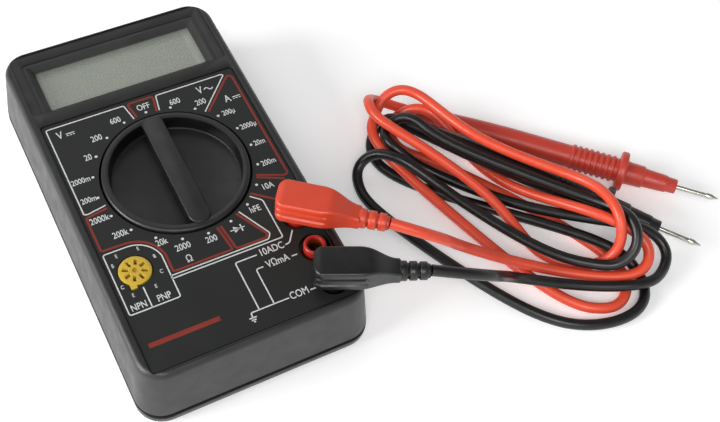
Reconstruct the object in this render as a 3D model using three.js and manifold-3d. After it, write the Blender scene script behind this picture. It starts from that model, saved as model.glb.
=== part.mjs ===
// A pocket digital multimeter lying on its back, with its two test leads plugged in.
// Millimetres, +Z up, the back of the case on z = 0, the display end towards +Y.
import * as THREE from "three";
import { mergeVertices } from "three/addons/utils/BufferGeometryUtils.js";
import Module from "manifold-3d";

const wasm = await Module();
wasm.setup();

// ---------------------------------------------------------------- driving dimensions
const gap = 0.3; // between two pieces that touch

const caseHalfWidth = 35.7;
const caseHalfLength = 63;
const caseCorner = 8;
const partingZ = 6; // where the two shells meet
const rimZ = 26.4; // top of the frame round the label
const sideDraft = 1.93; // how far the walls lean in, parting line to rim
const wall = 1.8;
const cavityCorner = 4;
const plateUnderside = 23.5; // inner face of the front plate

const labelTopZ = 26;
const labelThickness = 0.3;
const label = { x: 30.7, y0: -58.8, y1: 30.4 };

const panel = { x: 31.2, y0: 35.3, y1: 60, depth: 0.35 };
const bezelOuter = { x: 27.3, y0: 35.6, y1: 55.2 };
const bezelInner = { x: 25.3, y0: 37.3, y1: 53.2 };
const windowTopZ = 23.75;
const windowThickness = 0.95;
const glass = { x: 26.5, y0: 36.5, y1: 57, top: 22.2, thickness: 2.6 };
const lcdFrame = { x: 29, y0: 34.5, y1: 58.4 };

const dialHoleRadius = 22.4;
const dialRadius = 21.8;
const dialRimInner = 19.5;
const dialTopZ = 26.8;
const dialFloorZ = 21.8;
const dialUndersideZ = 20;
const gripHalfWidth = 3.3;
const gripTopZ = 27.4;
const hubRadius = 5;

const boardTopZ = 16.5;
const boardThickness = 1.6;
const boardHalfWidth = 32;

const jackX = 25.5;
const jackY = { tenAmp: -28.7, volts: -40.7, common: -52.7 };
const wellRadius = 4.6;
const collarRadius = 3.3;
const collarTopZ = 27.9;
const sleeveInner = 2;
const sleeveOuter = 2.45;

const socket = { x: -23.3, y: -27.2, radius: 4.7 };

const battery = { x0: -31.2, x1: 15.2, y0: -58.9, y1: -32.4, z0: 2.3, z1: 19.8 };

const plugBottomZ = 28.3;
const plugTopZ = 36.7;
const plugHalfWidth = 4.9;
const plugAxisZ = 30.9; // centre line of the strain relief
const plugLength = 26.6; // from the pin's axis to the end of the strain relief
const redPlugTurn = -37; // degrees from +X
const blackPlugTurn = -24;

const cordRadius = 1.7;
const probeLength = 104;
const redProbe = { rear: [86, 6.5, 4.5], tip: [158.9, -67.6, 7.7] };
const blackProbe = { rear: [78.5, 1.7, 8.5], tip: [143.9, -79.1, 5.8] };

// ---------------------------------------------------------------- materials
function finish(color, roughness, metalness = 0) {
  return new THREE.MeshStandardMaterial({ color, roughness, metalness });
}
const blackAbs = finish(0x2c2c2b, 0.45);
const blackVinyl = finish(0x1f1f1f, 0.5);
const redVinyl = finish(0xd64a2e, 0.45);
const redAbs = finish(0xb32a22, 0.4);
const labelFilm = finish(0x323332, 0.5);
const clearAcrylic = finish(0xcfd6cf, 0.08);
const lcdGlass = finish(0x8c937d, 0.15);
const greyAbs = finish(0x55575a, 0.6);
const siliconeRubber = finish(0x9a8f86, 0.7);
const boardLaminate = finish(0x2f6b42, 0.55);
const epoxy = finish(0x141414, 0.3);
const yellowNylon = finish(0xd9a520, 0.5);
const brass = finish(0xc8a25a, 0.3, 1);
const nickel = finish(0xc9c6bd, 0.25, 1);
const steel = finish(0x9b9ea1, 0.3, 1);
const batteryFoil = finish(0x3c4b66, 0.4);
const bluePot = finish(0x2c5fa8, 0.4);

// ---------------------------------------------------------------- solids
function solid(geometry) {
  const bare = geometry.index ? geometry.toNonIndexed() : geometry.clone();
  bare.deleteAttribute("normal");
  bare.deleteAttribute("uv");
  const merged = mergeVertices(bare, 1e-4);
  return new wasm.Manifold(
    new wasm.Mesh({
      numProp: 3,
      vertProperties: merged.attributes.position.array,
      triVerts: new Uint32Array(merged.index.array),
    }),
  );
}

function surface(manifold) {
  const mesh = manifold.getMesh();
  const indexed = new THREE.BufferGeometry();
  indexed.setAttribute("position", new THREE.BufferAttribute(mesh.vertProperties, 3));
  indexed.setIndex(new THREE.BufferAttribute(mesh.triVerts, 1));
  const geometry = indexed.toNonIndexed();
  geometry.computeVertexNormals();
  return geometry;
}

function joined(...pieces) {
  return pieces.reduce((whole, piece) => whole.add(piece));
}

function cutBy(base, ...tools) {
  return tools.reduce((whole, tool) => whole.subtract(tool), base);
}

// A box between two corners.
function block(x0, x1, y0, y1, z0, z1) {
  const box = new THREE.BoxGeometry(x1 - x0, y1 - y0, z1 - z0);
  box.translate((x0 + x1) / 2, (y0 + y1) / 2, (z0 + z1) / 2);
  return solid(box);
}

// An upright cylinder.
function drum(x, y, radius, z0, z1, sides = 24) {
  const cylinder = new THREE.CylinderGeometry(radius, radius, z1 - z0, sides);
  cylinder.rotateX(Math.PI / 2);
  cylinder.translate(x, y, (z0 + z1) / 2);
  return solid(cylinder);
}

// A turned piece on an upright axis, from [radius, z] points that start and end on the axis
// or close on themselves.
function turned(x, y, profile, sides = 18) {
  const points = profile.map(([radius, z]) => new THREE.Vector2(radius, z));
  const lathe = new THREE.LatheGeometry(points, sides);
  lathe.rotateX(Math.PI / 2);
  lathe.translate(x, y, 0);
  return solid(lathe);
}

function roundedRectangle(x0, x1, y0, y1, r) {
  const shape = new THREE.Shape();
  shape.moveTo(x0 + r, y0);
  shape.lineTo(x1 - r, y0);
  shape.absarc(x1 - r, y0 + r, r, -Math.PI / 2, 0, false);
  shape.lineTo(x1, y1 - r);
  shape.absarc(x1 - r, y1 - r, r, 0, Math.PI / 2, false);
  shape.lineTo(x0 + r, y1);
  shape.absarc(x0 + r, y1 - r, r, Math.PI / 2, Math.PI, false);
  shape.lineTo(x0, y0 + r);
  shape.absarc(x0 + r, y0 + r, r, Math.PI, 1.5 * Math.PI, false);
  return shape;
}

// An upright prism of a flat outline.
function prism(shape, z0, z1, curveSegments = 6) {
  const options = { depth: z1 - z0, bevelEnabled: false, curveSegments };
  const geometry = new THREE.ExtrudeGeometry(shape, options);
  geometry.translate(0, 0, z0);
  return solid(geometry);
}

// A prism whose top and bottom edges are rounded over height and inset.
function pillow(shape, z0, z1, height, inset, steps, curveSegments = 6) {
  const geometry = new THREE.ExtrudeGeometry(shape, {
    depth: z1 - z0 - 2 * height,
    bevelEnabled: true,
    bevelThickness: height,
    bevelSize: inset,
    bevelOffset: -inset,
    bevelSegments: steps,
    curveSegments,
  });
  geometry.translate(0, 0, z0 + height);
  return geometry;
}

// Leans the side walls in above the parting line, as a moulded case is drafted.
function drafted(geometry) {
  const position = geometry.attributes.position;
  for (let i = 0; i < position.count; i += 1) {
    const rise = Math.max(0, position.getZ(i) - partingZ) / (rimZ - partingZ);
    const lean = sideDraft * rise;
    position.setX(i, position.getX(i) * (1 - lean / caseHalfWidth));
    position.setY(i, position.getY(i) * (1 - lean / caseHalfLength));
  }
  return geometry;
}

// A hole that narrows from one rectangle to another.
function funnel(low, z0, high, z1) {
  const box = new THREE.BoxGeometry(2, 2, 2);
  const position = box.attributes.position;
  for (let i = 0; i < position.count; i += 1) {
    const at = position.getZ(i) > 0 ? high : low;
    const y = position.getY(i) > 0 ? at.y1 : at.y0;
    position.setXYZ(i, Math.sign(position.getX(i)) * at.x, y, position.getZ(i) > 0 ? z1 : z0);
  }
  return solid(box);
}

// A smooth curve drawn towards its guide points, as a bent cord is, and through both ends.
class CordRoute extends THREE.Curve {
  constructor(points) {
    super();
    const first = points[0].clone().multiplyScalar(2).sub(points[1]);
    const last = points.at(-1).clone().multiplyScalar(2).sub(points.at(-2));
    this.guides = [first, ...points, last];
  }
  getPoint(t, target = new THREE.Vector3()) {
    const spans = this.guides.length - 3;
    const along = Math.min(t * spans, spans - 1e-9);
    const k = Math.floor(along);
    const u = along - k;
    const weights = [
      (1 - u) ** 3 / 6,
      (3 * u ** 3 - 6 * u ** 2 + 4) / 6,
      (-3 * u ** 3 + 3 * u ** 2 + 3 * u + 1) / 6,
      u ** 3 / 6,
    ];
    target.set(0, 0, 0);
    weights.forEach((weight, i) => target.addScaledVector(this.guides[k + i], weight));
    return target;
  }
  // Steps follow the guide points, so they are shorter in the bends.
  getUtoTmapping(u) {
    return u;
  }
}

// A tube of round section along a curve.
function tube(curve, radius, sides, steps) {
  const section = new THREE.Shape();
  for (let i = 0; i < sides; i += 1) {
    const turn = (i / sides) * 2 * Math.PI;
    const corner = [radius * Math.cos(turn), radius * Math.sin(turn)];
    if (i === 0) section.moveTo(...corner);
    else section.lineTo(...corner);
  }
  return new THREE.ExtrudeGeometry(section, { steps, extrudePath: curve, bevelEnabled: false });
}

const meter = new THREE.Group();

function add(name, geometry, material, parent = meter) {
  const mesh = new THREE.Mesh(geometry, material);
  mesh.name = name;
  parent.add(mesh);
  return mesh;
}

// ---------------------------------------------------------------- front shell
const backScrews = [
  [-29, 29.5],
  [29, 29.5],
];
const boardScrews = [
  [-29.5, 12],
  [29.5, 12],
  [-29.5, -20],
  [29.5, -20],
];
const bossRadius = 3.2;
const postRadius = 2.4;
const screwBore = 1.2;
const dialCollarRadius = 24.2;
const socketHoleRadius = socket.radius + gap;
const socketKey = { x: -25.5, y: -31.8, half: 0.9 };

function socketOpening(z0, z1, clearance) {
  const { x, y, half } = socketKey;
  const side = half + clearance;
  return joined(
    drum(socket.x, socket.y, socket.radius + clearance, z0, z1),
    block(x - side, x + side, y - side, y + half + 1, Math.max(z0, battery.z1 + 0.5), z1),
  );
}

function caseOutline(inset, corner) {
  const x = caseHalfWidth - inset;
  const y = caseHalfLength - inset;
  return roundedRectangle(-x, x, -y, y, corner);
}

function frontShell() {
  const body = solid(drafted(pillow(caseOutline(0, caseCorner), -20, rimZ, 2, 1.8, 3, 5)));
  const cavity = solid(
    drafted(pillow(caseOutline(wall, cavityCorner), -22, plateUnderside, 0.6, 0.6, 1, 3)),
  );
  const below = block(-60, 60, -90, 90, -40, partingZ + gap / 2);
  let shell = cutBy(body, cavity, below);

  // bosses, posts, the dial's collar and the thick pad that holds the jacks
  const bosses = backScrews.map(([x, y]) => drum(x, y, bossRadius, 6.3, 24, 12));
  const posts = boardScrews.map(([x, y]) => drum(x, y, postRadius, boardTopZ + gap, 24, 8));
  const collar = drum(0, 0, dialCollarRadius, boardTopZ + 0.6, 24, 32);
  const pad = block(jackX - 6.2, jackX + 6, -59, jackY.tenAmp + 6, 20.5, 24);
  shell = joined(shell, ...bosses, ...posts, collar, pad);

  // holes
  const dialHole = drum(0, 0, dialHoleRadius, 10, 40, 40);
  const jackHoles = Object.values(jackY).flatMap((y) => [
    drum(jackX, y, wellRadius, 23.8, 40, 20),
    drum(jackX, y, collarRadius + gap, 10, 40, 16),
  ]);
  const screwBores = [
    ...backScrews.map(([x, y]) => drum(x, y, screwBore, 5, 18, 8)),
    ...boardScrews.map(([x, y]) => drum(x, y, screwBore, 10, 22, 8)),
  ];
  const labelSeat = prism(
    roundedRectangle(-label.x - 0.3, label.x + 0.3, label.y0 - 0.3, label.y1 + 0.3, 1),
    labelTopZ - labelThickness - gap,
    40,
    3,
  );
  const panelSeat = prism(
    roundedRectangle(-panel.x, panel.x, panel.y0, panel.y1, 1),
    rimZ - 0.4 - panel.depth,
    40,
    3,
  );
  const bezel = funnel(bezelInner, 24.05, bezelOuter, 26.1);
  const opening = block(-bezelInner.x, bezelInner.x, bezelInner.y0, bezelInner.y1, 20, 24.1);
  const windowSeat = block(-28.3, 28.3, 34.9, 55.9, 20, 24.05);
  return cutBy(
    shell,
    dialHole,
    ...jackHoles,
    ...screwBores,
    labelSeat,
    panelSeat,
    bezel,
    opening,
    windowSeat,
    socketOpening(10, 40, gap),
  );
}
add("front_shell", surface(frontShell()), blackAbs);

// ---------------------------------------------------------------- back shell
const screwHead = { radius: 2.7, z0: 0.7, z1: 2.3 };

function backShell() {
  const body = solid(pillow(caseOutline(0, caseCorner), 0, 20, 4.5, 3.2, 4, 5));
  const hollow = solid(pillow(caseOutline(wall + 0.4, cavityCorner), wall, 40, 2.5, 2, 1, 3));
  const above = block(-60, 60, -90, 90, partingZ - gap / 2, 60);
  const towers = backScrews.map(([x, y]) => drum(x, y, 4.3, 0.5, partingZ - gap / 2, 16));
  const shell = joined(cutBy(body, hollow, above), ...towers);
  const recesses = backScrews.flatMap(([x, y]) => [
    drum(x, y, 3.2, -1, screwHead.z1 + gap, 16),
    drum(x, y, 1.7, -1, 20, 12),
  ]);
  return cutBy(shell, ...recesses);
}
add("back_shell", surface(backShell()), blackAbs);

// ---------------------------------------------------------------- screws
// A pan-head screw with a cross slot, its head down.
function screw(x, y, head, shankRadius, tipZ) {
  const profile = [
    [0, head.z0],
    [head.radius * 0.7, head.z0],
    [head.radius, head.z0 + 0.5],
    [head.radius, head.z1],
    [shankRadius, head.z1],
    [shankRadius, tipZ - 1],
    [0, tipZ],
  ];
  const slotA = block(x - 1.4, x + 1.4, y - 0.3, y + 0.3, head.z0 - 1, head.z0 + 0.8);
  const slotB = block(x - 0.3, x + 0.3, y - 1.4, y + 1.4, head.z0 - 1, head.z0 + 0.8);
  return cutBy(turned(x, y, profile, 14), slotA, slotB);
}
backScrews.forEach(([x, y], i) => {
  add(`back_screw_${i + 1}`, surface(screw(x, y, screwHead, 0.9, 15)), steel);
});
const boardScrewHead = { radius: 2, z0: 13.2, z1: boardTopZ - boardThickness - gap };
boardScrews.forEach(([x, y], i) => {
  add(`board_screw_${i + 1}`, surface(screw(x, y, boardScrewHead, 0.85, 21)), steel);
});

// ---------------------------------------------------------------- printed face label
function faceLabel() {
  const outline = roundedRectangle(-label.x, label.x, label.y0, label.y1, 1);
  const sheet = prism(outline, labelTopZ - labelThickness, labelTopZ, 3);
  const wells = Object.values(jackY).map((y) => drum(jackX, y, wellRadius, 20, 30, 20));
  return cutBy(
    sheet,
    drum(0, 0, dialHoleRadius, 20, 30, 40),
    ...wells,
    socketOpening(20, 30, gap),
  );
}
add("face_label", surface(faceLabel()), labelFilm);

// ---------------------------------------------------------------- display
add(
  "display_window",
  surface(block(-28, 28, 35.2, 55.6, windowTopZ - windowThickness, windowTopZ)),
  clearAcrylic,
);

function lcdHolder() {
  const { x, y0, y1 } = lcdFrame;
  const frame = block(-x, x, y0, y1, boardTopZ + gap, glass.top + gap);
  const pocket = block(
    -glass.x - gap,
    glass.x + gap,
    glass.y0 - gap,
    glass.y1 + gap,
    glass.top - glass.thickness - gap,
    30,
  );
  const well = block(-glass.x + 1.5, glass.x - 1.5, glass.y0 + 1, glass.y1 - 2, 10, 30);
  const corner = backScrews.map(([bx, by]) => drum(bx, by, bossRadius + 2.2, 10, 30, 16));
  return cutBy(frame, pocket, well, ...corner);
}
add("lcd_frame", surface(lcdHolder()), greyAbs);
add(
  "lcd_glass",
  surface(block(-glass.x, glass.x, glass.y0, glass.y1, glass.top - glass.thickness, glass.top)),
  lcdGlass,
);
add(
  "zebra_strip",
  surface(block(-24, 24, 38, 40.4, boardTopZ + gap, glass.top - glass.thickness - gap)),
  siliconeRubber,
);

// ---------------------------------------------------------------- circuit board
function circuitBoard() {
  const z0 = boardTopZ - boardThickness;
  const outline = roundedRectangle(-boardHalfWidth, boardHalfWidth, -58.2, 58.2, 4);
  const batteryBay = block(-40, 20.3, -70, battery.y1 + gap, 10, 20);
  const laminate = cutBy(prism(outline, z0, boardTopZ, 4), batteryBay);
  const bossHoles = backScrews.map(([x, y]) => drum(x, y, bossRadius + gap, 10, 20, 16));
  const screwHoles = boardScrews.map(([x, y]) => drum(x, y, screwBore, 10, 20, 10));
  const jackHoles = Object.values(jackY).map((y) => drum(jackX, y, sleeveOuter + gap, 10, 20, 16));
  return cutBy(laminate, ...bossHoles, ...screwHoles, ...jackHoles);
}
add("circuit_board", surface(circuitBoard()), boardLaminate);

const underBoardZ = boardTopZ - boardThickness - gap;
const blobProfile = [
  [0, underBoardZ - 1.7],
  [3.5, underBoardZ - 1.5],
  [6, underBoardZ - 0.8],
  [7, underBoardZ],
  [0, underBoardZ],
];
add("chip_blob", surface(turned(-2, 44, blobProfile, 20)), epoxy);

function trimPot(x, y) {
  const body = block(x - 3.4, x + 3.4, y - 3.4, y + 3.4, underBoardZ - 3.8, underBoardZ);
  const slot = block(x - 1.6, x + 1.6, y - 0.4, y + 0.4, underBoardZ - 5, underBoardZ - 3);
  return cutBy(body, slot);
}
add("trim_pot", surface(trimPot(-18, 4)), bluePot);

// the fuse lies along Y in two clips under the board
const fuse = { x: 21.5, y0: -20, y1: 0, z: 10.9, radius: 2.55 };
const fuseProfile = [
  [0, 0],
  [fuse.radius, 0],
  [fuse.radius, 5],
  [fuse.radius - 0.25, 5],
  [fuse.radius - 0.25, 15],
  [fuse.radius, 15],
  [fuse.radius, 20],
  [0, 20],
];
const fuseSolid = turned(0, 0, fuseProfile, 16).rotate([-90, 0, 0]);
add("fuse", surface(fuseSolid.translate([fuse.x, fuse.y0, fuse.z])), nickel);

function fuseClip(y) {
  const inner = fuse.radius + gap;
  const outer = inner + 0.6;
  const { x, z } = fuse;
  const back = block(x - outer, x + outer, y - 2, y + 2, z + inner, underBoardZ);
  const sides = [-1, 1].map((side) => {
    const edge = x + side * (inner + 0.3);
    return block(edge - 0.3, edge + 0.3, y - 2, y + 2, z - 1.8, z + inner + 0.4);
  });
  return joined(back, ...sides);
}
add("fuse_clip_1", surface(fuseClip(fuse.y0 + 2.6)), nickel);
add("fuse_clip_2", surface(fuseClip(fuse.y1 - 2.6)), nickel);

// the ten-ampere shunt, a thick wire bridge beside the jacks
function bentWire(points, radius, sides, steps) {
  const path = new THREE.CatmullRomCurve3(points.map((p) => new THREE.Vector3(...p)));
  return tube(path, radius, sides, steps);
}
const shuntX = 29.6;
add(
  "shunt_bar",
  bentWire(
    [
      [shuntX, -35.5, underBoardZ],
      [shuntX, -35.6, 11.5],
      [shuntX, -37.5, 9.6],
      [shuntX, -46.5, 9.6],
      [shuntX, -48.4, 11.5],
      [shuntX, -48.5, underBoardZ],
    ],
    0.8,
    8,
    20,
  ),
  brass,
);

// ---------------------------------------------------------------- transistor socket
function transistorSocket() {
  const top = labelTopZ + 0.3;
  const base = socketOpening(boardTopZ + gap, top, 0);
  const slots = Array.from({ length: 8 }, (_, i) => {
    const turn = (i / 8) * 2 * Math.PI + Math.PI / 8;
    const slot = new THREE.BoxGeometry(1.7, 0.8, 8);
    slot.translate(2.7, 0, top);
    slot.rotateZ(turn);
    slot.translate(socket.x, socket.y, 0);
    return solid(slot);
  });
  const dimple = drum(socket.x, socket.y, 0.8, top - 0.6, top + 1, 12);
  return cutBy(base, ...slots, dimple);
}
add("transistor_socket", surface(transistorSocket()), yellowNylon);

// ---------------------------------------------------------------- jacks
const sleeveTopZ = collarTopZ - 1.8;
const sleeveProfile = [
  [sleeveInner, 9],
  [sleeveOuter, 9],
  [sleeveOuter, sleeveTopZ],
  [sleeveInner, sleeveTopZ],
  [sleeveInner, 9],
];
const collarProfile = [
  [sleeveOuter + gap, boardTopZ + gap],
  [collarRadius, boardTopZ + gap],
  [collarRadius, collarTopZ - 0.5],
  [collarRadius - 0.4, collarTopZ],
  [sleeveInner + 0.5, collarTopZ],
  [sleeveInner + 0.1, collarTopZ - 0.5],
  [sleeveInner + 0.1, sleeveTopZ + gap],
  [sleeveOuter + gap, sleeveTopZ + gap],
  [sleeveOuter + gap, boardTopZ + gap],
];
const jacks = [
  ["ten_amp", jackY.tenAmp, redAbs],
  ["volt_ohm", jackY.volts, redAbs],
  ["common", jackY.common, blackAbs],
];
for (const [name, y, plastic] of jacks) {
  add(`${name}_jack_sleeve`, surface(turned(jackX, y, sleeveProfile)), brass);
  add(`${name}_jack_collar`, surface(turned(jackX, y, collarProfile)), plastic);
}

// ---------------------------------------------------------------- battery and its snap
const stud = { y: -45.95, z: 11, apart: 6.4 };

function studAt(side, radius, x0, x1, sides) {
  const cylinder = new THREE.CylinderGeometry(radius, radius, x1 - x0, sides);
  cylinder.rotateZ(Math.PI / 2);
  cylinder.translate((x0 + x1) / 2, stud.y + side * stud.apart, stud.z);
  return solid(cylinder);
}

function batteryBlock() {
  const { x0, x1, y0, y1, z0, z1 } = battery;
  const can = new THREE.ExtrudeGeometry(roundedRectangle(y0, y1, z0, z1, 2.5), {
    depth: x1 - x0,
    bevelEnabled: false,
    curveSegments: 4,
  });
  // the outline's first axis becomes Y and its second becomes Z
  can.applyMatrix4(new THREE.Matrix4().set(0, 0, 1, x0, 1, 0, 0, 0, 0, 1, 0, 0, 0, 0, 0, 1));
  return joined(
    solid(can),
    studAt(1, 2.8, x1 - 0.5, x1 + 2, 16),
    studAt(-1, 3.9, x1 - 0.5, x1 + 2, 6),
  );
}
add("battery", surface(batteryBlock()), batteryFoil);

function batterySnap() {
  const x0 = battery.x1 + gap;
  const plate = block(x0, x0 + 4.2, -57, -34.9, 5, 17);
  return cutBy(plate, studAt(1, 3.2, x0 - 1, x0 + 2.4, 16), studAt(-1, 4.5, x0 - 1, x0 + 2.4, 12));
}
add("battery_snap", surface(batterySnap()), blackVinyl);

const redWireRoute = [
  [17.6, -34.5, 8],
  [17.4, -32.6, 8.4],
  [15.6, -30.6, 10.5],
  [14, -30, 13],
  [14, -30, underBoardZ],
];
const blackWireRoute = [
  [17.6, -34.5, 13.4],
  [18, -32.6, 13],
  [18.6, -30.4, 12],
  [18.4, -27.5, 12.6],
  [18.2, -27, underBoardZ],
];
add("battery_wire_red", bentWire(redWireRoute, 0.6, 8, 12), redVinyl);
add("battery_wire_black", bentWire(blackWireRoute, 0.6, 8, 12), blackVinyl);

// ---------------------------------------------------------------- range dial
const detentPocket = { radius: 1.6, z: 22.4, y0: 13.5, y1: 23 };

function dialKnob() {
  const disc = drum(0, 0, dialRadius, dialUndersideZ, dialTopZ, 40);
  const hub = drum(0, 0, hubRadius, boardTopZ + gap, dialUndersideZ + 0.2, 16);
  const grip = prism(
    roundedRectangle(-gripHalfWidth, gripHalfWidth, -20.4, 21, 3.2),
    dialFloorZ - 1,
    gripTopZ,
    5,
  );
  const recess = cutBy(
    drum(0, 0, dialRimInner, dialFloorZ, 40, 36),
    block(-gripHalfWidth, gripHalfWidth, -18, 30, 0, 50),
  );
  const pockets = [1, -1].map((side) => {
    const { radius, z, y0, y1 } = detentPocket;
    const hole = new THREE.CylinderGeometry(radius, radius, y1 - y0, 12);
    hole.translate(0, (side * (y0 + y1)) / 2, z);
    return solid(hole);
  });
  const turnedGrip = grip.intersect(drum(0, 0, dialRadius - 0.4, 0, 50, 40));
  return cutBy(joined(cutBy(joined(disc, hub), recess), turnedGrip), ...pockets);
}
add("dial_knob", surface(dialKnob()), blackAbs);

// spring fingers under the dial that bridge the board's contact rings
function wiper(radius, turn) {
  const half = 0.5;
  const shape = new THREE.Shape();
  shape.absarc(0, 0, radius + 0.8, turn - half, turn + half, false);
  shape.absarc(0, 0, radius - 0.8, turn + half, turn - half, true);
  const z1 = dialUndersideZ - gap;
  const strip = prism(shape, z1 - 0.4, z1, 5);
  const feet = [-1, 1].map((side) => {
    const at = turn + side * (half - 0.12);
    const x = radius * Math.cos(at);
    const y = radius * Math.sin(at);
    return drum(x, y, 0.5, boardTopZ + gap, z1 - 0.2, 8);
  });
  return joined(strip, ...feet);
}
add("dial_wiper_inner", surface(wiper(9.5, Math.PI)), brass);
add("dial_wiper_outer", surface(wiper(15.5, Math.PI / 2)), brass);

class SpringPath extends THREE.Curve {
  constructor(y0, y1) {
    super();
    this.y0 = y0;
    this.y1 = y1;
  }
  getPoint(t, target = new THREE.Vector3()) {
    const coilRadius = 1;
    const turn = t * 5 * 2 * Math.PI;
    const y = this.y0 + (this.y1 - this.y0) * t;
    return target.set(coilRadius * Math.cos(turn), y, detentPocket.z + coilRadius * Math.sin(turn));
  }
}
const ballRadius = 1.2;
const ballY = 20.9;
[1, -1].forEach((side, i) => {
  const spring = new SpringPath(side * 13.9, side * (ballY - ballRadius - 0.6));
  add(`detent_spring_${i + 1}`, tube(spring, 0.2, 4, 36), steel);
  const ball = new THREE.SphereGeometry(ballRadius, 12, 8);
  ball.translate(0, side * ballY, detentPocket.z);
  add(`detent_ball_${i + 1}`, surface(solid(ball)), steel);
});

// ---------------------------------------------------------------- test lead plugs
const pinTopZ = 32.9;
const pinProfile = [
  [0, 11],
  [0.9, 11.2],
  [1.3, 12.5],
  [1.65, 17],
  [1.65, 22],
  [1.35, 26.7],
  [1.35, 28.7],
  [1.65, 28.9],
  [1.65, pinTopZ],
  [0, pinTopZ],
];

// The plug lies along +X from its pin, which is on the origin's vertical.
function plugBody() {
  const outline = new THREE.Shape();
  outline.moveTo(-3.4, -plugHalfWidth);
  outline.lineTo(7, -plugHalfWidth);
  outline.bezierCurveTo(11, -plugHalfWidth, 13, -3.1, 18.6, -2.9);
  outline.lineTo(18.6, 2.9);
  outline.bezierCurveTo(13, 3.1, 11, plugHalfWidth, 7, plugHalfWidth);
  outline.lineTo(-3.4, plugHalfWidth);
  outline.bezierCurveTo(-5.2, plugHalfWidth, -6, 4, -6, 2.2);
  outline.lineTo(-6, -2.2);
  outline.bezierCurveTo(-6, -4, -5.2, -plugHalfWidth, -3.4, -plugHalfWidth);
  const body = solid(pillow(outline, plugBottomZ, plugTopZ, 0.8, 0.8, 2, 5));

  // the top falls from the shoulder to the strain relief
  const slope = new THREE.BoxGeometry(20, 20, 10);
  slope.translate(10, 0, 5);
  slope.rotateY(Math.atan2(3, 18 - 9.5));
  slope.translate(9.5, 0, plugTopZ);

  // two finger grooves along each side
  const grooves = [1, -1].flatMap((side) =>
    [plugBottomZ + 3, plugBottomZ + 5.6].map((z) => {
      const edge = side * plugHalfWidth;
      return block(-3.2, 8.6, edge - 0.5, edge + 0.5, z - 0.45, z + 0.45);
    }),
  );

  // strain relief: a taper with three rings parted by grooves
  const start = 17.6;
  const relief = [[0, start]];
  const ringWidth = 1.9;
  const pitch = 2.9;
  for (let ring = 0; ring < 3; ring += 1) {
    const x = start + 0.6 + ring * pitch;
    const radius = 2.9 - ring * 0.12;
    relief.push([radius - 0.55, x - 0.5], [radius, x], [radius, x + ringWidth]);
    relief.push([radius - 0.55, x + ringWidth + 0.3]);
  }
  relief.push([cordRadius + 0.35, plugLength], [0, plugLength]);
  const points = relief.map(([radius, x]) => new THREE.Vector2(radius, x));
  const sleeve = new THREE.LatheGeometry(points, 14);
  sleeve.rotateZ(-Math.PI / 2);
  sleeve.translate(0, 0, plugAxisZ);

  const pinHole = drum(0, 0, 2, 20, pinTopZ + gap, 16);
  return cutBy(joined(cutBy(body, solid(slope), ...grooves), solid(sleeve)), pinHole);
}


function addPlug(name, y, turnDegrees, plastic) {
  const plug = new THREE.Group();
  plug.position.set(jackX, y, 0);
  plug.rotation.z = THREE.MathUtils.degToRad(turnDegrees);
  add(`${name}_plug_body`, surface(plugBody()), plastic, plug);
  add(`${name}_plug_pin`, surface(turned(0, 0, pinProfile, 16)), nickel, plug);
  meter.add(plug);
}
addPlug("red", jackY.tenAmp, redPlugTurn, redVinyl);
addPlug("black", jackY.common, blackPlugTurn, blackVinyl);

// ---------------------------------------------------------------- test probes
// Turned profile of the handle, from its cord end: boot, grip, ribs, finger guard, nose.
function probeHandleProfile() {
  const points = [
    [0, gap],
    [2.4, gap],
    [2.6, 5],
    [3, 14],
    [3.5, 24],
    [3.75, 34],
    [3.75, 54],
  ];
  for (let rib = 0; rib < 8; rib += 1) {
    const s = 54.6 + rib * 1.9;
    points.push([3.8, s], [4.3, s + 0.3], [4.3, s + 1], [3.8, s + 1.3]);
  }
  points.push([3.9, 70.4], [6.3, 70.8], [6.5, 71.2], [6.5, 72.4], [6.3, 72.8], [3.9, 73.2]);
  points.push([3.75, 74], [3.6, 79], [3.1, 79.4], [2.8, 86.6], [2.5, 87], [2.4, 90]);
  points.push([1.15, 90], [1.15, needleSeat], [0, needleSeat]);
  return points;
}

const needleSeat = 82;
const needleProfile = [
  [0, needleSeat + gap],
  [0.8, needleSeat + gap],
  [0.8, 99.6],
  [1, 100],
  [1, 101.4],
  [0, probeLength],
];

function alongProbe(profile, sides) {
  const points = profile.map(([radius, s]) => new THREE.Vector2(radius, s));
  return new THREE.LatheGeometry(points, sides);
}

function addProbe(name, place, plastic) {
  const rear = new THREE.Vector3(...place.rear);
  const axis = new THREE.Vector3(...place.tip).sub(rear).normalize();
  const probe = new THREE.Group();
  probe.position.copy(rear);
  probe.quaternion.setFromUnitVectors(new THREE.Vector3(0, 1, 0), axis);
  add(`${name}_probe_handle`, alongProbe(probeHandleProfile(), 14), plastic, probe);
  add(`${name}_probe_needle`, alongProbe(needleProfile, 10), nickel, probe);
  meter.add(probe);
}
addProbe("red", redProbe, redVinyl);
addProbe("black", blackProbe, blackVinyl);

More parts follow.
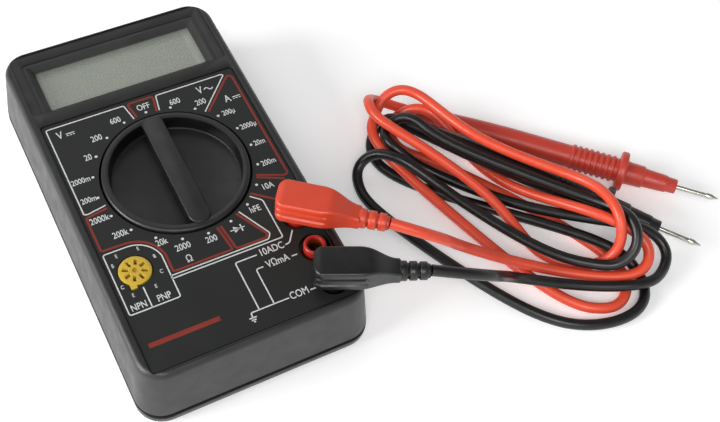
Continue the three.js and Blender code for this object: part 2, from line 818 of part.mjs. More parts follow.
// ---------------------------------------------------------------- cords
// Guide points from the plug's strain relief to the probe's boot. Each lead falls from the
// plug, then lies in three long loops over and under itself, the other lead and the probes.
const redCordRoute = [
  [47.1, -45, 31.1],
  [62, -56.5, 28.1],
  [70, -48.6, 10.4],
  [92.6, -64.3, 3.9],
  [111.6, -77, 4.4],
  [121.8, -80.5, 6.4],
  [126.7, -74, 10],
  [122.1, -67.4, 13.5],
  [113.4, -56.4, 14.2],
  [99.8, -31.5, 0.7],
  [94.5, -10.8, 1.9],
  [88.3, 1.6, 14.2],
  [78.6, 7.4, 4.9],
  [74.8, 1.2, 1.7],
  [76, -6.5, 1.9],
  [86.9, -15.5, 1.9],
  [121, -70.3, 1.9],
  [114.9, -82.2, 1.9],
  [109.7, -84.7, 1.8],
  [104.1, -84.4, 2.4],
  [93.1, -76.7, 1.4],
  [75.8, -28.3, 3.3],
  [64.9, 0.3, 8],
  [71.7, 6.6, 8.5],
  [74.6, 10.1, 9.4],
  [79.6, 10.8, 14.4],
  [87.5, 7.2, 14.2],
  [92.7, -16.5, 14.1],
  [113.2, -38.4, 12.3],
  [120.3, -51.4, 16.8],
  [118.4, -65.3, 20.4],
  [117.3, -72.3, 8.4],
  [106.7, -69.8, 1.9],
  [94.4, -57.6, 1.3],
  [94.3, -39, 6.2],
  [75.5, -8.2, 13.2],
  [68.7, 2.8, 13.9],
  [69.7, 8.9, 14.4],
  [73, 14.5, 9],
  [82.4, 10.1, 4.3],
  [86, 6.5, 4.5],
];
const blackCordRoute = [
  [50.3, -63.7, 31.1],
  [69.9, -72.9, 27.8],
  [78.6, -62.4, 7.4],
  [103.1, -76.3, 3.7],
  [119.4, -84.6, 6.7],
  [127.6, -81.7, 3.9],
  [132.7, -77.2, 6.2],
  [131.1, -70.2, 8.8],
  [124, -65.9, 12.7],
  [100.4, -43.5, 3.5],
  [78.6, -14.9, 2],
  [73, -11.6, 8.8],
  [68.9, -5, 10.8],
  [71.9, 0.9, 8.9],
  [77.8, 0.4, 13.7],
  [81.8, -5, 14.3],
  [84, -13.2, 11.8],
  [119.7, -54.4, 11.3],
  [123.1, -65.5, 18.6],
  [120.8, -74.8, 13.7],
  [113.9, -75.7, 8.2],
  [108.3, -72.1, 7.4],
  [95.7, -61.7, 6.3],
  [80.1, -25.7, 3.6],
  [70.7, -13.8, 11.4],
  [64.5, -5.8, 8.8],
  [58.3, -6, 3.3],
  [56, -13.1, 1.6],
  [56.3, -23, 2],
  [73.9, -61.1, 1.9],
  [89.7, -86.3, 1.9],
  [112.5, -91, 1.9],
  [120.7, -84.4, 1.9],
  [122.1, -77.6, 1.8],
  [118.2, -69.7, 8.2],
  [102.9, -47.9, 2.2],
  [75.8, -23.1, 1.7],
  [64.6, -7.6, 1.8],
  [67.7, 3.5, 2.1],
  [75.4, 5.6, 8.6],
  [78.5, 1.7, 8.5],
];
const cordSides = 8;
const cordSteps = 80;
function addCord(name, route, plastic) {
  const path = new CordRoute(route.map((point) => new THREE.Vector3(...point)));
  add(name, tube(path, cordRadius, cordSides, cordSteps), plastic);
}
addCord("red_cord", redCordRoute, redVinyl);
addCord("black_cord", blackCordRoute, blackVinyl);

export default meter;
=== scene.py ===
import math

import bmesh
import bpy
from mathutils import Matrix, Vector


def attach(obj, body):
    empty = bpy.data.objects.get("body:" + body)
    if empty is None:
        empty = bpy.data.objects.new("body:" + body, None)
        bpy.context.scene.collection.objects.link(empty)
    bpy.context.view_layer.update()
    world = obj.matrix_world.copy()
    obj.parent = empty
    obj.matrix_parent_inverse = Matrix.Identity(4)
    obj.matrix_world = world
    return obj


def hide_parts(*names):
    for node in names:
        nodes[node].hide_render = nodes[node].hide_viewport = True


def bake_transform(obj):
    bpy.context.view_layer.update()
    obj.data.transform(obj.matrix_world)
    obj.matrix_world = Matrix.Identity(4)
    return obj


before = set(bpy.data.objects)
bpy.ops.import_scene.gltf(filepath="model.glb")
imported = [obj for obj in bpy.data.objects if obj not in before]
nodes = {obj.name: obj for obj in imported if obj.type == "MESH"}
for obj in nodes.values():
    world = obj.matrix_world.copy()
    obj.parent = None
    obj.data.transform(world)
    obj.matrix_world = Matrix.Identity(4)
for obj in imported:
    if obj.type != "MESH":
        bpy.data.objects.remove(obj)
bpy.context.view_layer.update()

MM = 0.001  # sizes are in millimetres and meshes are in metres

# ---------------------------------------------------------------- camera, floor and light
# A white lit sheet on a table, seen from above the jacks' end of the meter and from its left.
# A strong soft light stands low on the left, a weaker one in front and a faint one behind.
azimuth = math.radians(34.258)
elevation = math.radians(55.350)
roll = math.radians(8.497)
aim = Vector((53.22, -19.99, 0)) * MM
distance = 373.86 * MM
forward = Vector(
    (
        math.cos(elevation) * math.sin(azimuth),
        math.cos(elevation) * math.cos(azimuth),
        -math.sin(elevation),
    )
)
level = Vector((math.cos(azimuth), -math.sin(azimuth), 0))
right = level * math.cos(roll) + level.cross(forward) * math.sin(roll)
upward = right.cross(forward)
camera_data = bpy.data.cameras.new("camera")
camera_data.lens = 58.58
camera_data.sensor_width = 36
camera_data.sensor_fit = "HORIZONTAL"
camera_data.clip_start = 0.01
camera = bpy.data.objects.new("camera", camera_data)
bpy.context.collection.objects.link(camera)
camera.matrix_world = Matrix.Translation(aim - forward * distance) @ (
    Matrix((right, upward, -forward)).transposed().to_4x4()
)
bpy.context.scene.camera = camera
bpy.context.scene.view_settings.view_transform = "Standard"


def linear(hex_colour):
    """An sRGB hex colour as the linear colour that a shader takes."""
    channels = [int(hex_colour[i : i + 2], 16) / 255 for i in (1, 3, 5)]
    curved = [c / 12.92 if c <= 0.04045 else ((c + 0.055) / 1.055) ** 2.4 for c in channels]
    return (*curved, 1.0)


def node(tree, kind, inputs=None, **settings):
    """Adds one shader node, with its settings, and its sockets' values or links. A colour Mix
    has its factor at socket 0 and its two colours at 6 and 7."""
    added = tree.nodes.new("ShaderNode" + kind)
    for name, value in settings.items():
        setattr(added, name, value)
    for socket, value in (inputs or {}).items():
        if isinstance(value, bpy.types.NodeSocket):
            tree.links.new(value, added.inputs[socket])
        else:
            added.inputs[socket].default_value = value
    return added


def new_material(name):
    """An empty material, its node tree, and the place on the piece in metres."""
    material = bpy.data.materials.new(name)
    material.use_nodes = True
    tree = material.node_tree
    tree.nodes.clear()
    place = node(tree, "TexCoord").outputs["Object"]
    return material, tree, place


def spaced(size):
    """A pattern's scale, from the real size of its features in millimetres."""
    return 1 / (size * MM)


def show(tree, **principled):
    """Ends a material in its shader. Two underscores in a socket's name stand for a space."""
    sockets = {name.replace("__", " "): value for name, value in principled.items()}
    shader = node(tree, "BsdfPrincipled", sockets)
    node(tree, "OutputMaterial", {"Surface": shader.outputs["BSDF"]})


def lit_sheet():
    """Translucent white acrylic, lit faintly from below: a faint cloudiness and no shine."""
    material, tree, place = new_material("lit_white_sheet")
    cloud = node(tree, "TexNoise", {"Vector": place, "Scale": spaced(166.7), "Detail": 3.0})
    tints = {0: cloud.outputs["Fac"], 6: linear("#f4f4f3"), 7: linear("#fbfbfa")}
    tone = node(tree, "Mix", tints, data_type="RGBA")
    fibre = node(tree, "TexNoise", {"Vector": place, "Scale": spaced(0.667), "Detail": 2.0})
    bump = node(tree, "Bump", {"Height": fibre.outputs["Fac"], "Distance": 0.00002, "Strength": 0.3})
    show(
        tree,
        Base__Color=tone.outputs[2],
        Roughness=0.9,
        Emission__Color=linear("#ffffff"),
        Emission__Strength=0.22,
        Normal=bump.outputs["Normal"],
    )
    return material


floor_reach = 3.0  # metres from the middle to each edge
floor_mesh = bpy.data.meshes.new("floor")
floor_form = bmesh.new()
bmesh.ops.create_grid(floor_form, x_segments=8, y_segments=8, size=floor_reach)
floor_form.to_mesh(floor_mesh)
floor_form.free()
floor = bpy.data.objects.new("floor", floor_mesh)
bpy.context.collection.objects.link(floor)
floor_mesh.materials.append(lit_sheet())

world = bpy.data.worlds.new("white_walls")
world.use_nodes = True
sky = world.node_tree
sky.nodes.clear()
way = node(sky, "TexCoord").outputs["Generated"]
height = node(sky, "SeparateXYZ", {"Vector": way}).outputs["Z"]
# the walls are bright and the ceiling is dim
fade = node(
    sky,
    "MapRange",
    {"Value": height, "From Min": 0.15, "From Max": 0.75, "To Min": 0.95, "To Max": 0.22},
)
walls = node(
    sky,
    "Background",
    {"Color": linear("#fbfcff"), "Strength": fade.outputs["Result"]},
)
node(sky, "OutputWorld", {"Surface": walls.outputs["Background"]})
bpy.context.scene.world = world


def soft_box(name, place, target, size, watts):
    """A square soft light that faces its target. Its place and size are in metres."""
    data = bpy.data.lights.new(name, "AREA")
    data.size = size
    data.energy = watts
    lamp = bpy.data.objects.new(name, data)
    bpy.context.collection.objects.link(lamp)
    lamp.location = place
    lamp.rotation_euler = (Vector(target) - Vector(place)).to_track_quat("-Z", "Y").to_euler()


soft_box("soft_box_left", (-0.78, 0.04, 0.34), (0.03, -0.01, 0), 0.50, 9.0)
soft_box("soft_box_back", (0.10, 0.80, 0.90), (0.05, -0.02, 0), 0.55, 1.0)
soft_box("soft_box_front", (-0.35, -0.75, 0.95), (0.05, -0.02, 0), 0.60, 6.5)

# ---------------------------------------------------------------- test lead cords
# Two flexible leads of stranded wire in soft PVC, extruded and left in loose overlapping
# loops. Each leaves its plug's strain relief, falls to the table and ends in its probe.
cord_diameter = 3.4
span_steps = 12  # rings of the tube between two guide points


def soft_vinyl(name, dark, light):
    """PVC, extruded or moulded: even colour, a soft sheen and faint rub marks."""
    material, tree, place = new_material(name)
    mottle = node(tree, "TexNoise", {"Vector": place, "Scale": spaced(7.14), "Detail": 4.0})
    tints = {0: mottle.outputs["Fac"], 6: linear(dark), 7: linear(light)}
    tone = node(tree, "Mix", tints, data_type="RGBA")
    rub = node(tree, "TexNoise", {"Vector": place, "Scale": spaced(2.38), "Detail": 5.0})
    sheen = {"Value": rub.outputs["Fac"], "From Min": 0.3, "From Max": 0.7}
    sheen |= {"To Min": 0.28, "To Max": 0.42}
    gloss = node(tree, "MapRange", sheen)
    skin = node(tree, "TexNoise", {"Vector": place, "Scale": spaced(0.4545), "Detail": 2.0})
    bump = node(tree, "Bump", {"Height": skin.outputs["Fac"], "Distance": 0.00002, "Strength": 0.5})
    show(
        tree,
        Base__Color=tone.outputs[2],
        Roughness=gloss.outputs["Result"],
        IOR=1.53,
        Normal=bump.outputs["Normal"],
    )
    return material


red_cord_vinyl = soft_vinyl("red_cord_vinyl", "#d5432a", "#e25032")
black_cord_vinyl = soft_vinyl("black_cord_vinyl", "#080809", "#0f0f10")

red_route = [
    (47.1, -45, 31.1), (62, -56.5, 28.1), (70, -48.6, 10.4), (92.6, -64.3, 3.9),
    (111.6, -77, 4.4), (121.8, -80.5, 6.4), (126.7, -74, 10), (122.1, -67.4, 13.5),
    (113.4, -56.4, 14.2), (99.8, -31.5, 0.7), (94.5, -10.8, 1.9), (88.3, 1.6, 14.2),
    (78.6, 7.4, 4.9), (74.8, 1.2, 1.7), (76, -6.5, 1.9), (86.9, -15.5, 1.9),
    (121, -70.3, 1.9), (114.9, -82.2, 1.9), (109.7, -84.7, 1.8), (104.1, -84.4, 2.4),
    (93.1, -76.7, 1.4), (75.8, -28.3, 3.3), (64.9, 0.3, 8), (71.7, 6.6, 8.5),
    (74.6, 10.1, 9.4), (79.6, 10.8, 14.4), (87.5, 7.2, 14.2), (92.7, -16.5, 14.1),
    (113.2, -38.4, 12.3), (120.3, -51.4, 16.8), (118.4, -65.3, 20.4), (117.3, -72.3, 8.4),
    (106.7, -69.8, 1.9), (94.4, -57.6, 1.3), (94.3, -39, 6.2), (75.5, -8.2, 13.2),
    (68.7, 2.8, 13.9), (69.7, 8.9, 14.4), (73, 14.5, 9), (82.4, 10.1, 4.3), (86, 6.5, 4.5),
]
black_route = [
    (50.3, -63.7, 31.1), (69.9, -72.9, 27.8), (78.6, -62.4, 7.4), (103.1, -76.3, 3.7),
    (119.4, -84.6, 6.7), (127.6, -81.7, 3.9), (132.7, -77.2, 6.2), (131.1, -70.2, 8.8),
    (124, -65.9, 12.7), (100.4, -43.5, 3.5), (78.6, -14.9, 2), (73, -11.6, 8.8),
    (68.9, -5, 10.8), (71.9, 0.9, 8.9), (77.8, 0.4, 13.7), (81.8, -5, 14.3),
    (84, -13.2, 11.8), (119.7, -54.4, 11.3), (123.1, -65.5, 18.6), (120.8, -74.8, 13.7),
    (113.9, -75.7, 8.2), (108.3, -72.1, 7.4), (95.7, -61.7, 6.3), (80.1, -25.7, 3.6),
    (70.7, -13.8, 11.4), (64.5, -5.8, 8.8), (58.3, -6, 3.3), (56, -13.1, 1.6),
    (56.3, -23, 2), (73.9, -61.1, 1.9), (89.7, -86.3, 1.9), (112.5, -91, 1.9),
    (120.7, -84.4, 1.9), (122.1, -77.6, 1.8), (118.2, -69.7, 8.2), (102.9, -47.9, 2.2),
    (75.8, -23.1, 1.7), (64.6, -7.6, 1.8), (67.7, 3.5, 2.1), (75.4, 5.6, 8.6),
    (78.5, 1.7, 8.5),
]


def lying_curve(route):
    """A smooth curve drawn towards its guide points, through both ends, in metres."""
    points = [Vector(p) * MM for p in route]
    guides = [points[0] * 2 - points[1], *points, points[-1] * 2 - points[-2]]
    curve = []
    for k in range(len(guides) - 3):
        for step in range(span_steps):
            u = step / span_steps
            weights = (
                (1 - u) ** 3 / 6,
                (3 * u**3 - 6 * u**2 + 4) / 6,
                (-3 * u**3 + 3 * u**2 + 3 * u + 1) / 6,
                u**3 / 6,
            )
            curve.append(sum((w * g for w, g in zip(weights, guides[k : k + 4])), Vector()))
    curve.append(points[-1])
    return curve


def loft(name, rings, loop=False):
    """A closed solid through rings of points in millimetres. A ring of one point is a tip."""
    form = bmesh.new()
    rows = [[form.verts.new(Vector(p) * MM) for p in ring] for ring in rings]
    pairs = list(zip(rows, rows[1:]))
    if loop:
        pairs.append((rows[-1], rows[0]))
    for low, high in pairs:
        count = max(len(low), len(high))
        for i in range(count):
            j = (i + 1) % count
            if len(low) == 1:
                form.faces.new((low[0], high[j], high[i]))
            elif len(high) == 1:
                form.faces.new((low[i], low[j], high[0]))
            else:
                form.faces.new((low[i], low[j], high[j], high[i]))
    if not loop:
        for ring in (rows[0], rows[-1]):
            if len(ring) > 1:
                form.faces.new(ring)
    bmesh.ops.recalc_face_normals(form, faces=form.faces)
    mesh = bpy.data.meshes.new(name)
    form.to_mesh(mesh)
    form.free()
    made = bpy.data.objects.new(name, mesh)
    bpy.context.collection.objects.link(made)
    return made


def dress(made, material, sharp=32):
    """Gives a piece its material, and smooth faces up to a sharp angle."""
    made.data.materials.clear()
    made.data.materials.append(material)
    made.data.shade_smooth()
    made.data.set_sharp_from_angle(angle=math.radians(sharp))
    return made


def cord_tube(name, curve, sides=16):
    """A round tube along a curve, with rings that don't twist."""
    radius = cord_diameter / 2
    tangent = (curve[1] - curve[0]).normalized()
    side = tangent.orthogonal().normalized()
    rings = []
    for k, point in enumerate(curve):
        ahead = curve[min(k + 1, len(curve) - 1)] - curve[max(k - 1, 0)]
        turn = tangent.rotation_difference(ahead.normalized())
        tangent = ahead.normalized()
        side = turn @ side
        other = tangent.cross(side)
        ring = []
        for i in range(sides):
            angle = 2 * math.pi * i / sides
            ring.append(point / MM + (side * math.cos(angle) + other * math.sin(angle)) * radius)
        rings.append(ring)
    return loft(name, rings)


cords = {}
for colour, route, vinyl in (
    ("red", red_route, red_cord_vinyl),
    ("black", black_route, black_cord_vinyl),
):
    path = lying_curve(route)
    length = sum((b - a).length for a, b in zip(path, path[1:]))
    tube = dress(cord_tube(f"{colour}_lead", path), vinyl, 80)
    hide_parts(f"{colour}_cord")
    cords[colour] = (tube, path, length)

# ---------------------------------------------------------------- front shell
# The upper half of the case, injection moulded in black ABS in a spark-eroded mould, with
# drafted walls, a recessed panel round the display and a shallow seat for the label.
half_width, half_length = 35.7, 63.0
case_corner = 8.0
parting_z, rim_z = 6.0, 26.4
draft = 1.93  # how far the walls lean in from the parting line to the rim
edge_high, edge_in = 2.0, 1.8  # the rounded top edge
seam_low, seam_high, skirt_z = 6.15, 6.8, 6.95  # the dark line over the parting line
seam_depth = 0.8
case_wall, roof_under = 1.8, 23.5
label_z = 26.0
label_box = (-30.7, 30.7, -58.8, 30.4)
label_gap = 0.3
panel_box = (-31.2, 31.2, 35.3, 60)  # the sunk panel round the display
panel_z = rim_z - 0.75
step_box = (-28.4, 28.4, 34.9, 56.2)
window_under = 24.05
view_box = (-25.3, 25.3, 37.3, 53.2)  # what shows of the display
dial_hole = 22.4
jack_x = 25.5
jack_ys = (-28.7, -40.7, -52.7)
well_radius, well_floor = 4.6, 23.8
collar_hole = 3.6
socket_at = (-23.3, -27.2)
socket_radius, socket_gap = 4.7, 0.3
key_at, key_half = (-25.5, -31.8), 0.9
board_top = 16.8
screw_x, screw_y = 29, 29.5
board_x, board_ys = 29.5, (12, -20)  # the board's four screws
boss_radius, post_radius, screw_bore = 3.2, 2.4, 1.2


def moulded_abs(name, dark, light, grain, depth, rough):
    """ABS from a spark-eroded mould: a fine even grain that breaks up the highlights, with
    a faint cloudiness of tone. grain and depth are in millimetres."""
    material, tree, place = new_material(name)
    cloud = node(tree, "TexNoise", {"Vector": place, "Scale": spaced(16.67), "Detail": 5.0})
    speck = node(tree, "TexNoise", {"Vector": place, "Scale": spaced(grain), "Detail": 3.0})
    factors = {0: cloud.outputs["Fac"], 1: speck.outputs["Fac"]}
    blend = node(tree, "Math", factors, operation="MULTIPLY")
    limits = {"Value": blend.outputs["Value"], "From Min": 0.12, "From Max": 0.4}
    spread = node(tree, "MapRange", limits)
    tints = {0: spread.outputs["Result"], 6: linear(dark), 7: linear(light)}
    tone = node(tree, "Mix", tints, data_type="RGBA")
    wear = node(tree, "TexNoise", {"Vector": place, "Scale": spaced(5.56), "Detail": 6.0})
    sheen = {"Value": wear.outputs["Fac"], "From Min": 0.3, "From Max": 0.7}
    sheen |= {"To Min": rough - 0.06, "To Max": rough + 0.08}
    gloss = node(tree, "MapRange", sheen)
    pits = node(tree, "TexVoronoi", {"Vector": place, "Scale": spaced(grain), "Randomness": 1.0})
    terms = {0: pits.outputs["Distance"], 1: speck.outputs["Fac"]}
    grains = node(tree, "Math", terms, operation="ADD")
    bump = node(
        tree,
        "Bump",
        {"Height": grains.outputs["Value"], "Distance": depth * MM, "Strength": 0.6},
    )
    show(
        tree,
        Base__Color=tone.outputs[2],
        Roughness=gloss.outputs["Result"],
        IOR=1.54,
        Normal=bump.outputs["Normal"],
    )
    return material


# the real grain is about 0.1 mm; it is drawn at 0.45 mm so that it still shows
black_abs = moulded_abs("black_abs_eroded", "#131312", "#1f1f1e", 0.45, 0.035, 0.42)


def round_box(x0, x1, y0, y1, corner, z, steps=8):
    """One ring: a rectangle with round corners at height z."""
    centres = (
        (x1 - corner, y1 - corner, 0),
        (x0 + corner, y1 - corner, 90),
        (x0 + corner, y0 + corner, 180),
        (x1 - corner, y0 + corner, 270),
    )
    ring = []
    for cx, cy, start in centres:
        for i in range(steps + 1):
            angle = math.radians(start + 90 * i / steps)
            ring.append((cx + corner * math.cos(angle), cy + corner * math.sin(angle), z))
    return ring


def circle(x, y, radius, z, sides):
    """One ring: a circle at height z."""
    turn = 2 * math.pi / sides
    return [
        (x + radius * math.cos(turn * i), y + radius * math.sin(turn * i), z)
        for i in range(sides)
    ]


def case_ring(z, inset, corner, steps=14):
    """The case's outline at height z, leaning in above the parting line."""
    lean = draft * max(0.0, z - parting_z) / (rim_z - parting_z)
    kx = 1 - lean / half_width
    ky = 1 - lean / half_length
    x = half_width - inset
    y = half_length - inset
    return [(px * kx, py * ky, z) for px, py, _ in round_box(-x, x, -y, y, corner, z, steps)]


def carve(base, tools, operation="DIFFERENCE"):
    """Cuts the tools from the base, or joins them to it, and throws the tools away."""
    for tool in tools:
        cutter = base.modifiers.new("carve", "BOOLEAN")
        cutter.operation = operation
        cutter.solver = "MANIFOLD"
        cutter.object = tool
        graph = bpy.context.evaluated_depsgraph_get()
        result = bpy.data.meshes.new_from_object(base.evaluated_get(graph))
        base.modifiers.clear()
        base.data = result
        bpy.data.objects.remove(tool)
    return base


def flared(low, high, flare):
    """Heights and widenings of a recess whose mouth is broken by a small round."""
    return ((low, 0), (high - flare, 0), (high - flare * 0.3, flare * 0.35), (high, flare))


def pit(x0, x1, y0, y1, corner, low, high, flare):
    """A tool for a flat-bottomed recess with a broken mouth."""
    rings = [
        round_box(x0 - grow, x1 + grow, y0 - grow, y1 + grow, corner + grow, z)
        for z, grow in flared(low, high, flare)
    ]
    rings.append([(x, y, high + 5) for x, y, _ in rings[-1]])
    return loft("tool", rings)


def bore(x, y, radius, low, high, flare, sides):
    """A tool for a round hole with a broken mouth."""
    rings = [circle(x, y, radius + grow, z, sides) for z, grow in flared(low, high, flare)]
    rings.append(circle(x, y, radius + flare, high + 5, sides))
    return loft("tool", rings)


def rod(x, y, radius, low, high, sides=32):
    """An upright round rod."""
    return loft("tool", [circle(x, y, radius, z, sides) for z in (low, high)])


def bar(x0, x1, y0, y1, low, high):
    """A plain block."""
    corners = ((x1, y1), (x0, y1), (x0, y0), (x1, y0))
    return loft("tool", [[(x, y, z) for x, y in corners] for z in (low, high)])


def key_bar(reach, low, high):
    """The transistor socket's key, or a notch for it. It runs in under the round part."""
    x, y = key_at
    return bar(x - reach, x + reach, y - reach, y + 2, low, high)


skin = [case_ring(z, seam_depth, case_corner - seam_depth) for z in (seam_low, seam_high - 0.1)]
skin.append(case_ring(seam_high, 0.15, case_corner))
skin.append(case_ring(skirt_z, 0, case_corner))
edge_z = rim_z - edge_high
for rise in range(1, 6):
    skin.append(case_ring(skirt_z + (edge_z - skirt_z) * rise / 5, 0, case_corner))
for step in range(1, 9):
    angle = math.radians(90 * step / 8)
    inset = edge_in * (1 - math.cos(angle))
    skin.append(case_ring(edge_z + edge_high * math.sin(angle), inset, case_corner - inset))
front = loft("front_case", skin)
hollow = loft(
    "tool",
    [
        case_ring(4, case_wall, 4),
        case_ring(roof_under - 0.6, case_wall, 4),
        case_ring(roof_under, case_wall + 0.6, 3.4),
    ],
)
carve(front, [hollow])
# screw bosses, board posts, the dial's round well and the block behind the jacks
boss_top = roof_under + 0.5  # the inner features run a little way into the roof
posts = [(x, y) for x in (-board_x, board_x) for y in board_ys]
inner_features = [rod(x, screw_y, boss_radius, 6.3, boss_top) for x in (-screw_x, screw_x)]
inner_features += [rod(x, y, post_radius, board_top, boss_top) for x, y in posts]
inner_features.append(rod(0, 0, dial_hole + 1.8, 17.1, boss_top, 96))
inner_features.append(bar(jack_x - 6.2, jack_x + 6, -59, -22.7, 20.5, boss_top))
carve(front, inner_features, "UNION")

above = 30  # well clear of the rim
holes = [bore(0, 0, dial_hole, 10, label_z, 0.01, 128)]
for jack_y in jack_ys:
    holes.append(rod(jack_x, jack_y, collar_hole, 10, above, 48))
    holes.append(rod(jack_x, jack_y, well_radius, well_floor, above, 64))
holes += [rod(x, screw_y, screw_bore, 5, 18) for x in (-screw_x, screw_x)]
holes += [rod(x, y, screw_bore, 10, 22) for x, y in posts]
x0, x1, y0, y1 = label_box
seat = (x0 - label_gap, x1 + label_gap, y0 - label_gap, y1 + label_gap)
holes.append(pit(*seat, 1.2, label_z - 0.6, rim_z, 0.25))
holes.append(pit(*panel_box, 1.2, panel_z, rim_z, 0.3))
# the display's opening: a low step, then a bevel down to the glass, and the window's seat
holes.append(pit(*step_box, 1.0, rim_z - 1.0, panel_z, 0.12))
holes.append(
    loft(
        "tool",
        [
            round_box(*view_box, 0.4, 20),
            round_box(*view_box, 0.4, window_under),
            round_box(-27.1, 27.1, 35.8, 55.0, 0.7, 25.25),
            round_box(-27.4, 27.4, 35.5, 55.3, 0.8, 25.5),
        ],
    )
)
holes.append(bar(-28.3, 28.3, 34.9, 55.9, 20, window_under))
holes.append(rod(*socket_at, socket_radius + socket_gap, 10, 40, 64))
key_reach = key_half + socket_gap
holes.append(key_bar(key_reach, 20.3, 40))
carve(front, holes)
dress(front, black_abs)
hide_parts("front_shell")
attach(front, "meter")

# ---------------------------------------------------------------- back shell
# The lower half, moulded in the same ABS, a shallow tray with well rounded bottom edges. Two
# screws near its display end hold it to the front shell's bosses.
foot_round = 3.2  # how far in the bottom edge is rounded
foot_high = 4.5
tray_top = 5.85
tray = []
for step in range(9):
    angle = math.radians(90 * step / 8)
    inset = foot_round * (1 - math.sin(angle))
    tray.append(case_ring(foot_high * (1 - math.cos(angle)), inset, case_corner - inset * 0.6))
tray.append(case_ring(5.0, 0, case_corner))
tray.append(case_ring(5.2, 0.15, case_corner))
tray += [case_ring(z, seam_depth, case_corner - seam_depth) for z in (5.3, tray_top)]
back = loft("back_case", tray)
floor_levels = ((1.8, 4.2, 3), (3.2, 2.4, 4), (8, 2.4, 4))  # height, inset and corner
carve(back, [loft("tool", [case_ring(*level) for level in floor_levels])])
carve(back, [rod(x, screw_y, 4.3, 0.5, tray_top, 48) for x in (-screw_x, screw_x)], "UNION")
head_seat = ((3.5, -1), (3.5, 0), (3.2, 0.3), (3.2, 2.6))  # radius and height
recesses = []
for x in (-screw_x, screw_x):
    recesses.append(loft("tool", [circle(x, screw_y, radius, z, 64) for radius, z in head_seat]))
    recesses.append(rod(x, screw_y, 1.7, -1, 20, 48))
carve(back, recesses)
dress(back, black_abs)
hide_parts("back_shell")
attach(back, "meter")

# ---------------------------------------------------------------- screws
# Zinc-plated pan-head tapping screws with a cross recess: two hold the case shut and four
# hold the circuit board.


def plated_metal(name, colour, rough, marks):
    """Plated or bare metal: bright, with fine tool marks of the given width in mm."""
    material, tree, place = new_material(name)
    drawn = node(tree, "Mapping", {"Vector": place, "Scale": (1.0, 1.0, 4.0)}).outputs["Vector"]
    lines = node(tree, "TexNoise", {"Vector": drawn, "Scale": spaced(marks), "Detail": 4.0})
    haze = node(tree, "TexNoise", {"Vector": place, "Scale": spaced(3.333), "Detail": 4.0})
    sheen = {"Value": haze.outputs["Fac"], "From Min": 0.3, "From Max": 0.7}
    sheen |= {"To Min": rough - 0.06, "To Max": rough + 0.1}
    gloss = node(tree, "MapRange", sheen)
    dull = [channel * 0.82 for channel in linear(colour)[:3]] + [1.0]
    tints = {0: haze.outputs["Fac"], 6: dull, 7: linear(colour)}
    tone = node(tree, "Mix", tints, data_type="RGBA")
    bump = node(tree, "Bump", {"Height": lines.outputs["Fac"], "Distance": 0.00001, "Strength": 0.4})
    show(
        tree,
        Base__Color=tone.outputs[2],
        Metallic=1.0,
        Roughness=gloss.outputs["Result"],
        Normal=bump.outputs["Normal"],
    )
    return material


zinc_plate = plated_metal("zinc_plate", "#b9bdc0", 0.3, 0.15)
nickel_plate = plated_metal("nickel_plate", "#d0cdc4", 0.2, 0.1)
turned_brass = plated_metal("turned_brass", "#c9a45c", 0.28, 0.12)


def paint_node(name, material):
    """Gives a piece of the frame its finish."""
    owner = nodes[name]
    if not owner.material_slots:
        owner.data.materials.append(material)
    for place in owner.material_slots:
        place.material = material


for screw in ("back_screw_1", "back_screw_2", *(f"board_screw_{i}" for i in range(1, 5))):
    paint_node(screw, zinc_plate)

# ---------------------------------------------------------------- printed face label
# A thin polyester film, printed in white and red ink behind a matt face and glued into its
# seat. It has holes for the dial, the jacks and the transistor socket.


def printed_film(name, dark, light, rough):
    """Matt polyester: flat tone, faint orange peel, small handling smudges in a weak sheen."""
    material, tree, place = new_material(name)
    smudge = node(tree, "TexNoise", {"Vector": place, "Scale": spaced(11.11), "Detail": 6.0})
    tints = {0: smudge.outputs["Fac"], 6: linear(dark), 7: linear(light)}
    tone = node(tree, "Mix", tints, data_type="RGBA")
    sheen = {"Value": smudge.outputs["Fac"], "From Min": 0.35, "From Max": 0.65}
    sheen |= {"To Min": rough - 0.05, "To Max": rough + 0.06}
    gloss = node(tree, "MapRange", sheen)
    peel = node(tree, "TexNoise", {"Vector": place, "Scale": spaced(0.625), "Detail": 2.0})
    bump = node(tree, "Bump", {"Height": peel.outputs["Fac"], "Distance": 0.00001, "Strength": 0.5})
    show(
        tree,
        Base__Color=tone.outputs[2],
        Roughness=gloss.outputs["Result"],
        IOR=1.57,
        Specular__IOR__Level=0.3,
        Normal=bump.outputs["Normal"],
    )
    return material


matt_film = printed_film("matt_polyester_film", "#171817", "#1c1d1c", 0.5)
white_ink = printed_film("white_screen_ink", "#b9bbb9", "#c8cac8", 0.5)
red_ink = printed_film("red_screen_ink", "#6f2319", "#7f2c20", 0.5)

film_under = label_z - 0.3
label = loft("face_film", [round_box(*label_box, 1, z) for z in (film_under, label_z)])
openings = [rod(0, 0, dial_hole, 20, above, 128)]
openings += [rod(jack_x, jack_y, well_radius, 20, above, 64) for jack_y in jack_ys]
openings.append(rod(*socket_at, socket_radius + socket_gap, 20, above, 64))
openings.append(key_bar(key_reach, 20, above))
carve(label, openings)
dress(label, matt_film)
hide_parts("face_label")
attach(label, "meter")

ink_low, ink_high = label_z - 0.02, label_z + 0.03


